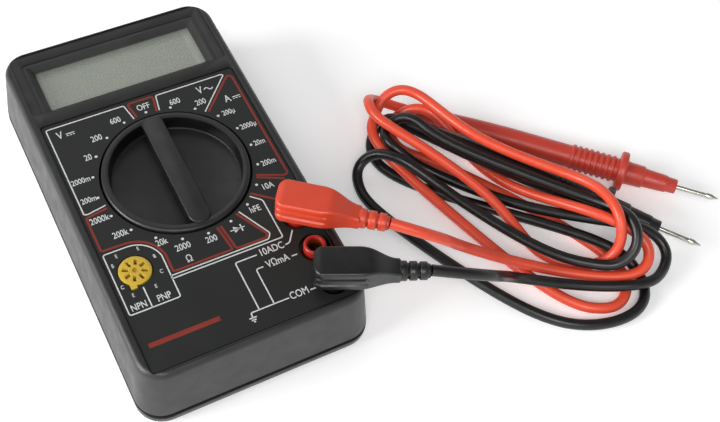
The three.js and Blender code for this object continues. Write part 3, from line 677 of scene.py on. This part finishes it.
def soften(points, radius, closed):
    """Rounds the corners of a flat outline or line."""
    steps = 4
    out = []
    count = len(points)
    for i, corner in enumerate(points):
        if not closed and i in (0, count - 1):
            out.append(Vector(corner))
            continue
        here = Vector(corner)
        back_way = Vector(points[i - 1]) - here
        on_way = Vector(points[(i + 1) % count]) - here
        reach = min(radius, back_way.length * 0.45, on_way.length * 0.45)
        start = here + back_way.normalized() * reach
        end = here + on_way.normalized() * reach
        for k in range(steps + 1):
            t = k / steps
            out.append(start * (1 - t) ** 2 + here * 2 * t * (1 - t) + end * t * t)
    return out


def stroke(form, points, width, closed=False):
    """Adds one printed line, a thin flat band along the points, to a mesh."""
    line = soften([Vector(p) for p in points], 0.7, closed)
    count = len(line)
    rows = []
    for i, here in enumerate(line):
        before = line[i - 1] if closed or i > 0 else here
        after = line[(i + 1) % count] if closed or i < count - 1 else here
        into = (here - before).normalized() if (here - before).length > 1e-6 else None
        out = (after - here).normalized() if (after - here).length > 1e-6 else None
        into = into or out
        out = out or into
        along = (into + out).normalized()
        across = Vector((-along.y, along.x)) * (width / 2 / max(0.5, along.dot(out)))
        corners = (here + across, here - across)
        rows.append(
            [
                form.verts.new(Vector((c.x, c.y, z)) * MM)
                for z, order in ((ink_low, corners), (ink_high, corners[::-1]))
                for c in order
            ]
        )
    pairs = list(zip(rows, rows[1:]))
    if closed:
        pairs.append((rows[-1], rows[0]))
    for a, b in pairs:
        for i in range(4):
            j = (i + 1) % 4
            form.faces.new((a[i], a[j], b[j], b[i]))
    if not closed:
        form.faces.new(rows[0])
        form.faces.new(rows[-1])


def dot(form, x, y, radius):
    """Adds one printed dot to a mesh."""
    sides = 20
    rows = [
        [form.verts.new(Vector(p) * MM) for p in circle(x, y, radius, z, sides)]
        for z in (ink_low, ink_high)
    ]
    for i in range(sides):
        j = (i + 1) % sides
        form.faces.new((rows[0][i], rows[0][j], rows[1][j], rows[1][i]))
    form.faces.new(rows[0])
    form.faces.new(rows[1])


letter_squeeze = 0.75  # the printed letters are narrow


def letters(form, body, x, y, height):
    """Adds printed characters, centred on a point, to a mesh."""
    data = bpy.data.curves.new("letters", "FONT")
    data.body = body
    data.size = height / 0.7  # capitals are about 0.7 of the size
    data.align_x = "CENTER"
    data.align_y = "CENTER"
    data.extrude = (ink_high - ink_low) / 2
    data.offset = 0.012 * height
    data.resolution_u = 4
    words = bpy.data.objects.new("letters", data)
    bpy.context.collection.objects.link(words)
    graph = bpy.context.evaluated_depsgraph_get()
    mesh = bpy.data.meshes.new_from_object(words.evaluated_get(graph))
    place = Matrix.Translation(Vector((x, y, (ink_low + ink_high) / 2)) * MM)
    shrink = Matrix.Diagonal((letter_squeeze * MM, MM, MM, 1))
    mesh.transform(place @ shrink)
    form.from_mesh(mesh)
    bpy.data.objects.remove(words)
    bpy.data.meshes.remove(mesh)


def print_on(name, form, ink):
    """Makes the printed marks of one ink a piece of the meter."""
    bmesh.ops.remove_doubles(form, verts=form.verts, dist=0.000002)
    bmesh.ops.recalc_face_normals(form, faces=form.faces)
    mesh = bpy.data.meshes.new(name)
    form.to_mesh(mesh)
    form.free()
    printed = bpy.data.objects.new(name, mesh)
    bpy.context.collection.objects.link(printed)
    dress(printed, ink)
    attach(printed, "meter")


white_line, red_line = 0.38, 0.68
thin_line = 0.3
ranges = 20
dot_circle, dot_radius = 24.04, 0.42
white = bmesh.new()
for step in range(ranges):
    angle = 2 * math.pi * step / ranges
    dot(white, dot_circle * math.sin(angle), dot_circle * math.cos(angle), dot_radius)
white_strokes = [
    [(-4.2, 23), (-5.3, 28.7), (-5.6, 29), (-29.7, 29), (-29.7, -4), (-28.8, -4.3), (-23, -3.3)],
    [(4, 23.2), (5, 28.7), (5.3, 29), (26.8, 29), (27.3, 28.5), (16.5, 17.2)],
    [(-23.2, -33), (-23.2, -40)],
    [(-15, -32.8), (14.8, -32.8), (16, -31), (10.8, -20.8)],
    [(-15, -33.8), (18.8, -33.8), (18.8, -19.8), (15.9, -17.1)],
    [(9.5, -36.3), (2.8, -36.3), (2.8, -52.6)],
    [(9.5, -40.6), (7.3, -40.6), (7.3, -52.6)],
    [(11.8, -52.7), (0.2, -52.7), (0.2, -54.2)],
    [(-0.9, -54.3), (1.3, -54.3)],
    [(-0.5, -55.0), (0.9, -55.0)],
    [(-0.1, -55.6), (0.5, -55.6)],
    [(18.3, -36.5), (19.7, -36.3), (22.2, -32.8)],
    [(18.3, -40.7), (20, -40.7)],
    [(18.3, -52.8), (20, -52.8)],
]
for points in white_strokes:
    stroke(white, points, white_line)


def round_socket(start, end, reach_x, reach_y):
    """Points on an oval round the transistor socket, between two angles in degrees."""
    angles = [math.radians(start + (end - start) * step / 12) for step in range(13)]
    return [(-22.6 + reach_x * math.cos(a), -27.2 + reach_y * math.sin(a)) for a in angles]


arc = round_socket(78, 12, 8.0, 8.2)
frame_line = [(-29.7, -19), (-22.2, -19), *arc, (-14.8, -26.3), (-15, -40), (-29.7, -40)]
stroke(white, frame_line, white_line, closed=True)
# the diode's symbol: a filled arrow on a line, with its bar
stroke(white, [(5.9, -26), (10.3, -26)], thin_line)
stroke(white, [(9.3, -24.8), (9.3, -27.2)], 0.4)
for step in range(6):
    x = 7.2 + 0.3 * step
    half = 1 - 0.18 * step
    stroke(white, [(x, -26 + half), (x, -26 - half)], 0.32)


def steady_sign(form, x, y):
    """The direct-current sign: a line over three dashes."""
    stroke(form, [(x - 1.3, y + 0.35), (x + 1.3, y + 0.35)], thin_line)
    for middle in (x - 0.95, x, x + 0.95):
        stroke(form, [(middle - 0.3, y - 0.35), (middle + 0.3, y - 0.35)], thin_line)


def wave_sign(form, x, y):
    """The alternating-current sign: one wave."""
    wave = []
    for k in range(13):
        t = k / 12
        wave.append((x - 1.4 + 2.8 * t, y + 0.5 * math.sin(2 * math.pi * t)))
    stroke(form, wave, 0.35)


steady_sign(white, -23.4, 25.2)
steady_sign(white, 27.6, 18.9)
wave_sign(white, 21.0, 25.4)
for body, x, y, height in (
    ("OFF", 0, 26.3, 2.2),
    ("600", -9.6, 24.6, 2.1),
    ("200", -17, 20.5, 2.1),
    ("20", -21.7, 14.7, 2.1),
    ("2000m", -26.5, 7.5, 1.9),
    ("200m", -26.7, 0.3, 1.9),
    ("2000k", -26.3, -7.3, 2.1),
    ("200k", -22.7, -14.2, 2.1),
    ("20k", -13.2, -21.5, 2.1),
    ("2000", -8.3, -25.3, 2.1),
    ("200", 0, -26.2, 2.1),
    ("Ω", -8.2, -29.7, 2.3),
    ("hFE", 15.5, -21.8, 2.1),
    ("10A", 22.2, -15.8, 2.1),
    ("200m", 26.2, -7.9, 1.9),
    ("20m", 26.8, 0, 1.9),
    ("2000µ", 26.4, 7.2, 1.9),
    ("200µ", 23, 14.3, 1.9),
    ("200", 16.7, 21.2, 2.1),
    ("600", 9.5, 24.5, 2.1),
    ("V", -26.5, 25.6, 2.7),
    ("V", 18.2, 25.6, 2.7),
    ("A", 24.7, 19.2, 2.7),
    ("10ADC", 14, -36.2, 2.3),
    ("VΩmA", 14, -40.5, 2.3),
    ("COM", 15, -52.5, 2.3),
    ("NPN", -26.4, -38.2, 2.1),
    ("PNP", -19.1, -38.2, 2.1),
):
    letters(white, body, x, y, height)
# the transistor's legs, round the socket
for body, x, y in (
    ("E", -26.4, -20.8),
    ("E", -20.0, -20.8),
    ("B", -16.7, -25.0),
    ("C", -16.8, -30.4),
    ("E", -19.9, -34.2),
    ("E", -26.6, -34.4),
    ("C", -28.4, -30.9),
    ("B", -28.4, -23.4),
):
    letters(white, body, x, y, 1.25)
print_on("white_printing", white, white_ink)

red = bmesh.new()
red_strokes = [
    [(-3.2, 23.3), (-4.1, 28.5), (-3.6, 29.1), (3.5, 29.1), (4.0, 28.5), (3.1, 23.0)],
    [(17.5, 16.8), (27.2, 26.8), (28.6, 28), (29.6, 26.8), (29.7, -13.8), (28.5, -14.2), (20.8, -10.8)],
    [(20.5, -11.6), (28, -15.3)],
    [(16.5, -16.2), (23, -21.5)],
    [(4.1, -23.2), (5.2, -32), (14.5, -32), (15.2, -31), (9.8, -21)],
]
ohm_zone = [(-23, -4.4), (-29.6, -5.4), (-29.6, -17.6), (-22.2, -17.8)]
ohm_zone += round_socket(80, 12, 9.0, 9.3)
ohm_zone += [(-13.7, -26), (-13.8, -31.8), (4.1, -31.8), (3.0, -23.2)]
for points in [*red_strokes, ohm_zone]:
    stroke(red, points, red_line)
# a plain bar stands where a maker prints a name
stroke(red, [(-28.5, -50.7), (-8, -50.7)], 1.5)
print_on("red_printing", red, red_ink)

# ---------------------------------------------------------------- display
# A reflective liquid crystal cell in a grey frame, joined to the board by a layered silicone
# strip and covered by a clear acrylic window. It is off, so it shows no figures.


def lcd_cell():
    """Grey-green reflective glass: a faint vertical streak and a soft clean gloss."""
    material, tree, place = new_material("reflective_lcd_glass")
    drawn = node(tree, "Mapping", {"Vector": place, "Scale": (1.0, 0.15, 1.0)}).outputs["Vector"]
    streak = node(tree, "TexNoise", {"Vector": drawn, "Scale": spaced(6.25), "Detail": 3.0})
    tints = {0: streak.outputs["Fac"], 6: linear("#555942"), 7: linear("#61654c")}
    tone = node(tree, "Mix", tints, data_type="RGBA")
    # the glass edges at the cell's two short ends are painted as a paler strip: a painted reflection of
    # the light those edges catch
    split = node(tree, "SeparateXYZ", {"Vector": place})
    reach = node(tree, "Math", {0: split.outputs["X"]}, operation="ABSOLUTE")
    edge = {"Value": reach.outputs["Value"], "From Min": 22.6 * MM, "From Max": 23.6 * MM}
    strip = node(tree, "MapRange", edge)
    tints = {0: strip.outputs["Result"], 6: tone.outputs[2], 7: linear("#777a6c")}
    whole = node(tree, "Mix", tints, data_type="RGBA")
    ripple = node(tree, "TexNoise", {"Vector": place, "Scale": spaced(1.111)})
    bump = node(tree, "Bump", {"Height": ripple.outputs["Fac"], "Distance": 0.000004, "Strength": 0.3})
    show(
        tree,
        Base__Color=whole.outputs[2],
        Roughness=0.22,
        IOR=1.52,
        Normal=bump.outputs["Normal"],
    )
    return material


def clear_acrylic():
    """Cast acrylic: nearly invisible face on, with a clean reflection and fine hairlines."""
    material, tree, place = new_material("clear_acrylic_window")
    hair = node(tree, "TexNoise", {"Vector": place, "Scale": spaced(1.429), "Detail": 6.0})
    tints = {0: hair.outputs["Fac"], 6: linear("#c9cfc9"), 7: linear("#dde2dd")}
    tone = node(tree, "Mix", tints, data_type="RGBA")
    bump = node(tree, "Bump", {"Height": hair.outputs["Fac"], "Distance": 0.000003, "Strength": 0.3})
    show(
        tree,
        Base__Color=tone.outputs[2],
        Roughness=0.05,
        IOR=1.49,
        Alpha=0.14,
        Normal=bump.outputs["Normal"],
    )
    return material


paint_node("lcd_glass", lcd_cell())
paint_node("display_window", clear_acrylic())
paint_node("lcd_frame", moulded_abs("grey_abs_frame", "#4c4e51", "#5d6063", 0.4, 0.02, 0.55))
paint_node("zebra_strip", soft_vinyl("layered_silicone", "#8d8279", "#a59a90"))

# ---------------------------------------------------------------- range dial
# One moulded ABS knob: a round rim with a finger recess on each side of a raised grip bar. It
# snaps from range to range and turns all the way round.
dial_radius, rim_inner = 21.8, 19.5
dial_top, dial_floor, dial_under = 26.8, 21.8, 20.0
axle_radius = 5
grip_half, grip_top = 3.3, 27.4
grip_y0, grip_y1 = -20.4, 21.0
spring_y, spring_z = 18.25, 22.4  # the two detent springs lie in pockets at the grip's ends


def turned(name, profile, sides=64, place=Matrix.Identity(4), loop=False):
    """A piece turned about its own axis, from radius and height, put in place."""
    rings = []
    for radius, along in profile:
        ring = [(0, 0, along)] if radius == 0 else circle(0, 0, radius, along, sides)
        rings.append([place @ Vector(p) for p in ring])
    return loft(name, rings, loop)


# radius and height
knob_profile = [(0, board_top), (axle_radius, board_top), (axle_radius, dial_under)]
knob_profile += [(dial_radius - 0.3, dial_under), (dial_radius, dial_under + 0.3)]
rim_edge = ((0, 0.9), (0.08, 0.5), (0.3, 0.2), (0.65, 0.03), (0.9, 0))  # inset and drop
knob_profile += [(dial_radius - inset, dial_top - drop) for inset, drop in rim_edge]
knob_profile.append((0, dial_top))
knob = turned("range_knob", knob_profile, 160)
recess_profile = (
    (-0.9, dial_floor),
    (-0.45, dial_floor + 0.12),
    (-0.15, dial_floor + 0.45),
    (-0.05, dial_floor + 0.9),
    (0, dial_top - 0.4),
    (0.12, dial_top - 0.12),
    (0.4, dial_top),
    (0.4, dial_top + 2),
)
recess = loft("tool", [circle(0, 0, rim_inner + out, z, 160) for out, z in recess_profile])
carve(knob, [recess])
web_z = dial_floor - 0.5
web = loft(
    "tool",
    [round_box(-grip_half, grip_half, -18, 20.4, 0.2, z) for z in (web_z, dial_top - 0.02)],
)
ridge = ((web_z, 0), (grip_top - 0.6, 0), (grip_top - 0.25, 0.1), (grip_top - 0.07, 0.28))
grip_rings = []
for z, inset in (*ridge, (grip_top, 0.6)):
    side = grip_half - inset
    ends = (grip_y0 + inset, grip_y1 - inset)
    grip_rings.append(round_box(-side, side, *ends, 3.2 - inset, z, 14))
carve(knob, [web, loft("tool", grip_rings)], "UNION")
pockets = []
for y in (spring_y, -spring_y):
    along = Matrix.Translation((0, y, spring_z)) @ Matrix.Rotation(math.pi / 2, 4, "X")
    pockets.append(
        turned("tool", [(0, -4.75), (1.6, -4.75), (1.6, 4.75), (0, 4.75)], 24, along)
    )
carve(knob, pockets)
# the steep walls inside the recesses are polished, and their copy of the black ABS has a darker base
# colour: painted shade, standing in for the shade that falls on these walls
painted_shade_wall_abs = moulded_abs("black_abs_polished_painted_shade", "#060606", "#0b0b0b", 0.8, 0.004, 0.3)
knob_abs = moulded_abs("black_abs_knob", "#111111", "#1b1b1a", 0.4, 0.02, 0.38)
dress(knob, knob_abs)
knob.data.materials.append(painted_shade_wall_abs)
# the recess walls take the darker copy of the ABS: painted shade
for face in knob.data.polygons:
    away = math.hypot(face.center.x, face.center.y) / MM
    if abs(face.normal.z) < 0.5 and away < rim_inner + 0.1 and face.center.z > dial_floor * MM:
        face.material_index = 1
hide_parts("dial_knob")
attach(knob, "dial")
for name, metal in (
    ("dial_wiper_inner", turned_brass),
    ("dial_wiper_outer", turned_brass),
    ("detent_spring_1", zinc_plate),
    ("detent_spring_2", zinc_plate),
    ("detent_ball_1", nickel_plate),
    ("detent_ball_2", nickel_plate),
):
    paint_node(name, metal)

# ---------------------------------------------------------------- transistor socket
# A yellow nylon insert, keyed against turning, with eight slots over its spring contacts. It
# is pushed up through the front shell from the board.
yellow_nylon = moulded_abs("yellow_nylon", "#ad8d24", "#bfa033", 0.5, 0.015, 0.42)
socket_top = label_z + 0.3
# inset and height
socket_profile = ((0, board_top), (0, socket_top - 0.35), (0.1, socket_top - 0.1), (0.35, socket_top))
insert = loft(
    "socket_insert",
    [circle(*socket_at, socket_radius - inset, z, 64) for inset, z in socket_profile],
)
carve(insert, [key_bar(key_half, 20.3, socket_top - 0.1)], "UNION")
slot_inner, slot_outer, slot_half = 1.85, 3.55, 0.4
slots = []
for step in range(8):
    turn = Matrix.Rotation(math.radians(45 * step + 22.5), 4, "Z")
    turn = Matrix.Translation((*socket_at, 0)) @ turn
    rings = []
    for z, grow in ((socket_top - 4, 0), (socket_top - 0.2, 0), (socket_top + 0.1, 0.15)):
        side = slot_half + grow
        ring = round_box(slot_inner - grow, slot_outer + grow, -side, side, 0.15, z, 3)
        rings.append([turn @ Vector(p) for p in ring])
    slots.append(loft("tool", rings))
slots.append(rod(*socket_at, 0.8, socket_top - 0.6, socket_top + 1, 32))
carve(insert, slots)
dress(insert, yellow_nylon)
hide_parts("transistor_socket")
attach(insert, "meter")

# ---------------------------------------------------------------- jacks
# Each jack is a turned brass sleeve soldered to the board inside a moulded collar that
# stands up in its well: red for the two live jacks and black for the common one.
red_abs = moulded_abs("red_abs", "#8e1c14", "#a3281c", 0.6, 0.01, 0.32)
collar_abs = moulded_abs("black_abs_collar", "#101010", "#191918", 0.6, 0.01, 0.34)
collar_profile = [
    (2.75, board_top), (3.3, board_top), (3.3, 27.3), (3.22, 27.6), (3.05, 27.82), (2.85, 27.9),
    (2.6, 27.9), (2.35, 27.8), (2.15, 27.5), (2.1, 27.2), (2.1, 26.4), (2.75, 26.4),
]
sleeve_profile = [
    (2.0, 9), (2.45, 9), (2.45, 25.9), (2.35, 26.1), (2.1, 26.1), (2.0, 25.9),
]
for name, jack_y, plastic, slot in (
    ("ten_amp", jack_ys[0], red_abs, "red_abs"),
    ("volt_ohm", jack_ys[1], red_abs, "red_abs"),
    ("common", jack_ys[2], collar_abs, "black_abs"),
):
    there = Matrix.Translation((jack_x, jack_y, 0))
    collar = turned(f"{name}_collar_ring", collar_profile, 64, there, loop=True)
    dress(collar, plastic)
    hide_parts(f"{name}_jack_collar")
    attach(collar, "meter")
    sleeve = turned(f"{name}_sleeve_tube", sleeve_profile, 48, there, loop=True)
    dress(sleeve, turned_brass)
    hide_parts(f"{name}_jack_sleeve")
    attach(sleeve, "meter")

# ---------------------------------------------------------------- test lead plugs
# Each plug is soft PVC moulded over the end of its cord and a nickel-plated spring pin, with
# a flat top, two finger grooves along each side and a ringed strain relief.
plug_low, plug_high = 28.3, 36.7
plug_half = 4.9
plug_start, plug_end = -6.0, 18.6  # measured along the plug from its pin
relief_z = 30.9
relief_start, relief_radius = 18.2, 2.9
relief_rings, relief_pitch = 3, 2.9
moulded_red = soft_vinyl("red_plug_vinyl", "#c03a22", "#cb452b")
moulded_black = soft_vinyl("black_plug_vinyl", "#0b0b0c", "#131314")


def ease(low, high, value):
    """Rises smoothly from 0 at low to 1 at high."""
    t = min(1.0, max(0.0, (value - low) / (high - low)))
    return t * t * (3 - 2 * t)


def plug_section(x):
    """Half width, top and bottom of the plug's body at x along it. Its front end is rounded,
    and it narrows and slopes down towards the cord."""
    if x < -3.4:
        t = (x + 3.4) / 2.6
        wide = 2.2 + (plug_half - 2.2) * math.sqrt(max(0.0, 1 - t * t))
    else:
        wide = plug_half - (plug_half - 2.9) * ease(6.6, 16.5, x)
    top = plug_high - 3.2 * ease(9, plug_end, x) - 0.3 * ease(-4.5, plug_start, x)
    low = plug_low + 0.35 * ease(13, plug_end, x)
    return wide, top, low


def plug_ring(x, shrink=0.0):
    """One cross section of the body: rounded corners and a groove pair on each side."""
    wide, top, low = plug_section(x)
    wide = max(0.15, wide - shrink)
    top -= shrink
    low += shrink
    corner = min(0.9, wide * 0.5)
    depth = 0.55 * ease(-5.6, -4.9, x) * (1 - ease(8.0, 9.4, x))
    half = []
    side = wide - corner
    for i in range(9):
        angle = math.radians(-90 + 90 * i / 8)
        half.append((side + corner * math.cos(angle), low + corner + corner * math.sin(angle)))
    for i in range(1, 32):
        z = low + corner + (top - low - 2 * corner) * i / 32
        dip = sum(ease(0.6, 0.34, abs(z - groove)) for groove in (plug_low + 3, plug_low + 5.6))
        half.append((wide - depth * dip, z))
    for i in range(9):
        angle = math.radians(90 * i / 8)
        half.append((side + corner * math.cos(angle), top - corner + corner * math.sin(angle)))
    left = [(-y, z) for y, z in reversed(half)]
    return [(x, y, z) for y, z in half + left]


def plug_body(name, place):
    """The moulding in its place, from sections that stand close where its shape turns."""
    stations = [-5.98, -5.93, -5.8, -5.55, -5.2, -4.7, -4.1]
    stations += [-3.9 + 0.2 * i for i in range(8)]
    stations += [-2.2 + 0.9 * i for i in range(12)]
    stations += [7.9 + 0.2 * i for i in range(9)]
    stations += [9.9 + 0.55 * i for i in range(16)]
    rings = [plug_ring(x) for x in stations]
    rings.insert(0, plug_ring(plug_start, 0.35))
    rings.append(plug_ring(plug_end - 0.15, 0.25))
    rings.append(plug_ring(plug_end, 0.55))
    body = loft(name, [[place @ Vector(p) for p in ring] for ring in rings])
    profile = [(0, 16.8), (2.3, 16.8), (2.3, 18.0)]
    for k in range(relief_rings):
        start = relief_start + relief_pitch * k
        radius = relief_radius - 0.12 * k
        profile += [
            (radius - 0.55, start - 0.35),
            (radius - 0.12, start - 0.2),
            (radius, start),
            (radius, start + 1.7),
            (radius - 0.1, start + 1.9),
            (radius - 0.55, start + 2.1),
        ]
    profile += [(2.1, 26.4), (2.0, 26.75), (1.75, 26.9), (0, 26.9)]
    lying = place @ Matrix.Translation((0, 0, relief_z)) @ Matrix.Rotation(math.pi / 2, 4, "Y")
    relief = turned("tool", profile, 48, lying)
    carve(body, [relief], "UNION")
    # small slots part the rings, so that the sleeve bends
    notches = []
    for k in range(relief_rings):
        middle = relief_start + relief_pitch * k + 2.4
        for side in (1, -1):
            ring = []
            for x, y in ((0.28, 1.5), (-0.28, 1.5), (-0.28, 3.4), (0.28, 3.4)):
                ring.append((middle + x, side * y))
            notch = [[(x, y, relief_z + z) for x, y in ring] for z in (-1.2, 1.2)]
            notches.append(loft("tool", [[place @ Vector(p) for p in row] for row in notch]))
    carve(body, notches)
    pin_hole = turned("tool", [(0, 20), (2, 20), (2, 33.2), (0, 33.2)], 32, place)
    carve(body, [pin_hole])
    return body


for colour, jack_y, turn, vinyl in (
    ("red", jack_ys[0], -37, moulded_red),
    ("black", jack_ys[2], -24, moulded_black),
):
    place = Matrix.Translation((jack_x, jack_y, 0)) @ Matrix.Rotation(math.radians(turn), 4, "Z")
    body = plug_body(f"{colour}_plug_moulding", place)
    dress(body, vinyl, 40)
    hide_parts(f"{colour}_plug_body")
    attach(body, f"{colour}_plug")
    paint_node(f"{colour}_plug_pin", nickel_plate)

# ---------------------------------------------------------------- test probes
# Hard PVC handles moulded over the ends of the cords, with gripping rings, a round finger
# guard and a tapered nose that holds a nickel-plated needle.
red_handle_pvc = soft_vinyl("red_probe_plastic", "#b53427", "#c24030")
black_handle_pvc = soft_vinyl("black_probe_plastic", "#0b0b0c", "#131314")
grip_rings_count, grip_rings_start, grip_rings_pitch = 8, 54.6, 1.9
# radius and distance from the rear end
handle_profile = [(0, 0.05), (2.1, 0.05), (2.35, 0.2), (2.42, 0.6), (2.6, 5), (3, 14), (3.5, 24)]
handle_profile += [(3.75, 34), (3.75, 54)]
for rib in range(grip_rings_count):
    start = grip_rings_start + grip_rings_pitch * rib
    handle_profile += [
        (3.8, start),
        (4.15, start + 0.12),
        (4.3, start + 0.35),
        (4.3, start + 0.95),
        (4.15, start + 1.2),
        (3.8, start + 1.32),
    ]
handle_profile += [
    (3.9, 70.3), (4.3, 70.45), (6.1, 70.6), (6.35, 70.75), (6.5, 71.1), (6.5, 72.5),
    (6.35, 72.85), (6.1, 73.0), (4.3, 73.15), (3.9, 73.4), (3.75, 74), (3.6, 78.8),
    (3.5, 79.05), (3.1, 79.4), (2.8, 86.4), (2.72, 86.7), (2.5, 87), (2.4, 89.7),
    (2.25, 89.95), (2.0, 90), (1.1, 90), (1.1, 82), (0, 82),
]
needle_profile = [
    (0, 82.3), (0.8, 82.3), (0.8, 99.6), (0.86, 99.8), (1, 100), (1, 101.4), (0.55, 102.6),
    (0.16, 103.8), (0, 104),
]
# rear end, tip and plastic
probes = {
    "red": ((86, 6.5, 4.5), (158.9, -67.6, 7.7), red_handle_pvc),
    "black": ((78.5, 1.7, 8.5), (143.9, -79.1, 5.8), black_handle_pvc),
}
for colour, (rear, tip, plastic) in probes.items():
    axis = (Vector(tip) - Vector(rear)).normalized()
    spin = Vector((0, 0, 1)).rotation_difference(axis).to_matrix().to_4x4()
    place = Matrix.Translation(rear) @ spin
    handle = turned(f"{colour}_probe_grip", handle_profile, 48, place)
    dress(handle, plastic, 40)
    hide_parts(f"{colour}_probe_handle")
    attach(handle, "meter")
    needle = turned(f"{colour}_probe_pin", needle_profile, 32, place)
    dress(needle, nickel_plate)
    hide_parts(f"{colour}_probe_needle")
    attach(needle, "meter")
    tube, path, length = cords[colour]
# Each cord's placement is baked into its mesh.
for colour, start, end in (
    ("red", (0.0120, 0.0055, -0.0175), (-0.0044, -0.0020, 0.0064)),
    ("black", (0.0109, 0.0050, -0.0159), (-0.0055, -0.0025, 0.0080)),
):
    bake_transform(cords[colour][0])

# ---------------------------------------------------------------- circuit board
# A green glass-epoxy board with its potted converter chip, calibration trimmer, glass fuse in
# nickel clips and the thick brass bridge of the ten-ampere range.


def solder_mask():
    """Green lacquer over copper: tracks show as slightly raised, paler lines."""
    material, tree, place = new_material("green_solder_mask")
    layout = {"Vector": place, "Scale": spaced(8.333), "Mortar Size": 0.04}
    layout |= {"Color1": linear("#245c39"), "Color2": linear("#2a6641"), "Mortar": linear("#3c8a57")}
    tracks = node(tree, "TexBrick", layout)
    glass = node(tree, "TexNoise", {"Vector": place, "Scale": spaced(1.25), "Detail": 3.0})
    bump = node(tree, "Bump", {"Height": tracks.outputs["Fac"], "Distance": 0.00003, "Strength": 0.6})
    weave = {"Height": glass.outputs["Fac"], "Distance": 0.00001, "Normal": bump.outputs["Normal"]}
    fine = node(tree, "Bump", weave)
    show(
        tree,
        Base__Color=tracks.outputs["Color"],
        Roughness=0.32,
        IOR=1.55,
        Normal=fine.outputs["Normal"],
    )
    return material


paint_node("circuit_board", solder_mask())
paint_node("chip_blob", moulded_abs("potting_epoxy", "#101011", "#1b1b1c", 1.5, 0.03, 0.25))
paint_node("trim_pot", moulded_abs("blue_nylon", "#27548f", "#3266ab", 0.5, 0.01, 0.4))
for name in ("fuse", "fuse_clip_1", "fuse_clip_2"):
    paint_node(name, nickel_plate)
paint_node("shunt_bar", turned_brass)

# ---------------------------------------------------------------- battery
# A nine-volt block battery in a printed steel jacket, on a moulded snap with two thin wires
# to the board.


def printed_jacket():
    """Lacquered steel: dark blue with a gold end band, glossy, lightly rubbed."""
    material, tree, place = new_material("printed_battery_jacket")
    split = node(tree, "SeparateXYZ", {"Vector": place})
    edge = {"Value": split.outputs["X"], "From Min": -22.5 * MM, "From Max": -22 * MM}
    band = node(tree, "MapRange", edge)
    rub = node(tree, "TexNoise", {"Vector": place, "Scale": spaced(3.846), "Detail": 6.0})
    tints = {0: rub.outputs["Fac"], 6: linear("#2f3d57"), 7: linear("#42526f")}
    worn = node(tree, "Mix", tints, data_type="RGBA")
    tints = {0: band.outputs["Result"], 6: linear("#b0a47c"), 7: worn.outputs[2]}
    tone = node(tree, "Mix", tints, data_type="RGBA")
    dent = node(tree, "TexNoise", {"Vector": place, "Scale": spaced(8.333)})
    bump = node(tree, "Bump", {"Height": dent.outputs["Fac"], "Distance": 0.00004, "Strength": 0.4})
    show(tree, Base__Color=tone.outputs[2], Metallic=0.4, Roughness=0.3, Normal=bump.outputs["Normal"])
    return material


paint_node("battery", printed_jacket())
paint_node("battery_snap", moulded_black)
paint_node("battery_wire_red", red_cord_vinyl)
paint_node("battery_wire_black", black_cord_vinyl)
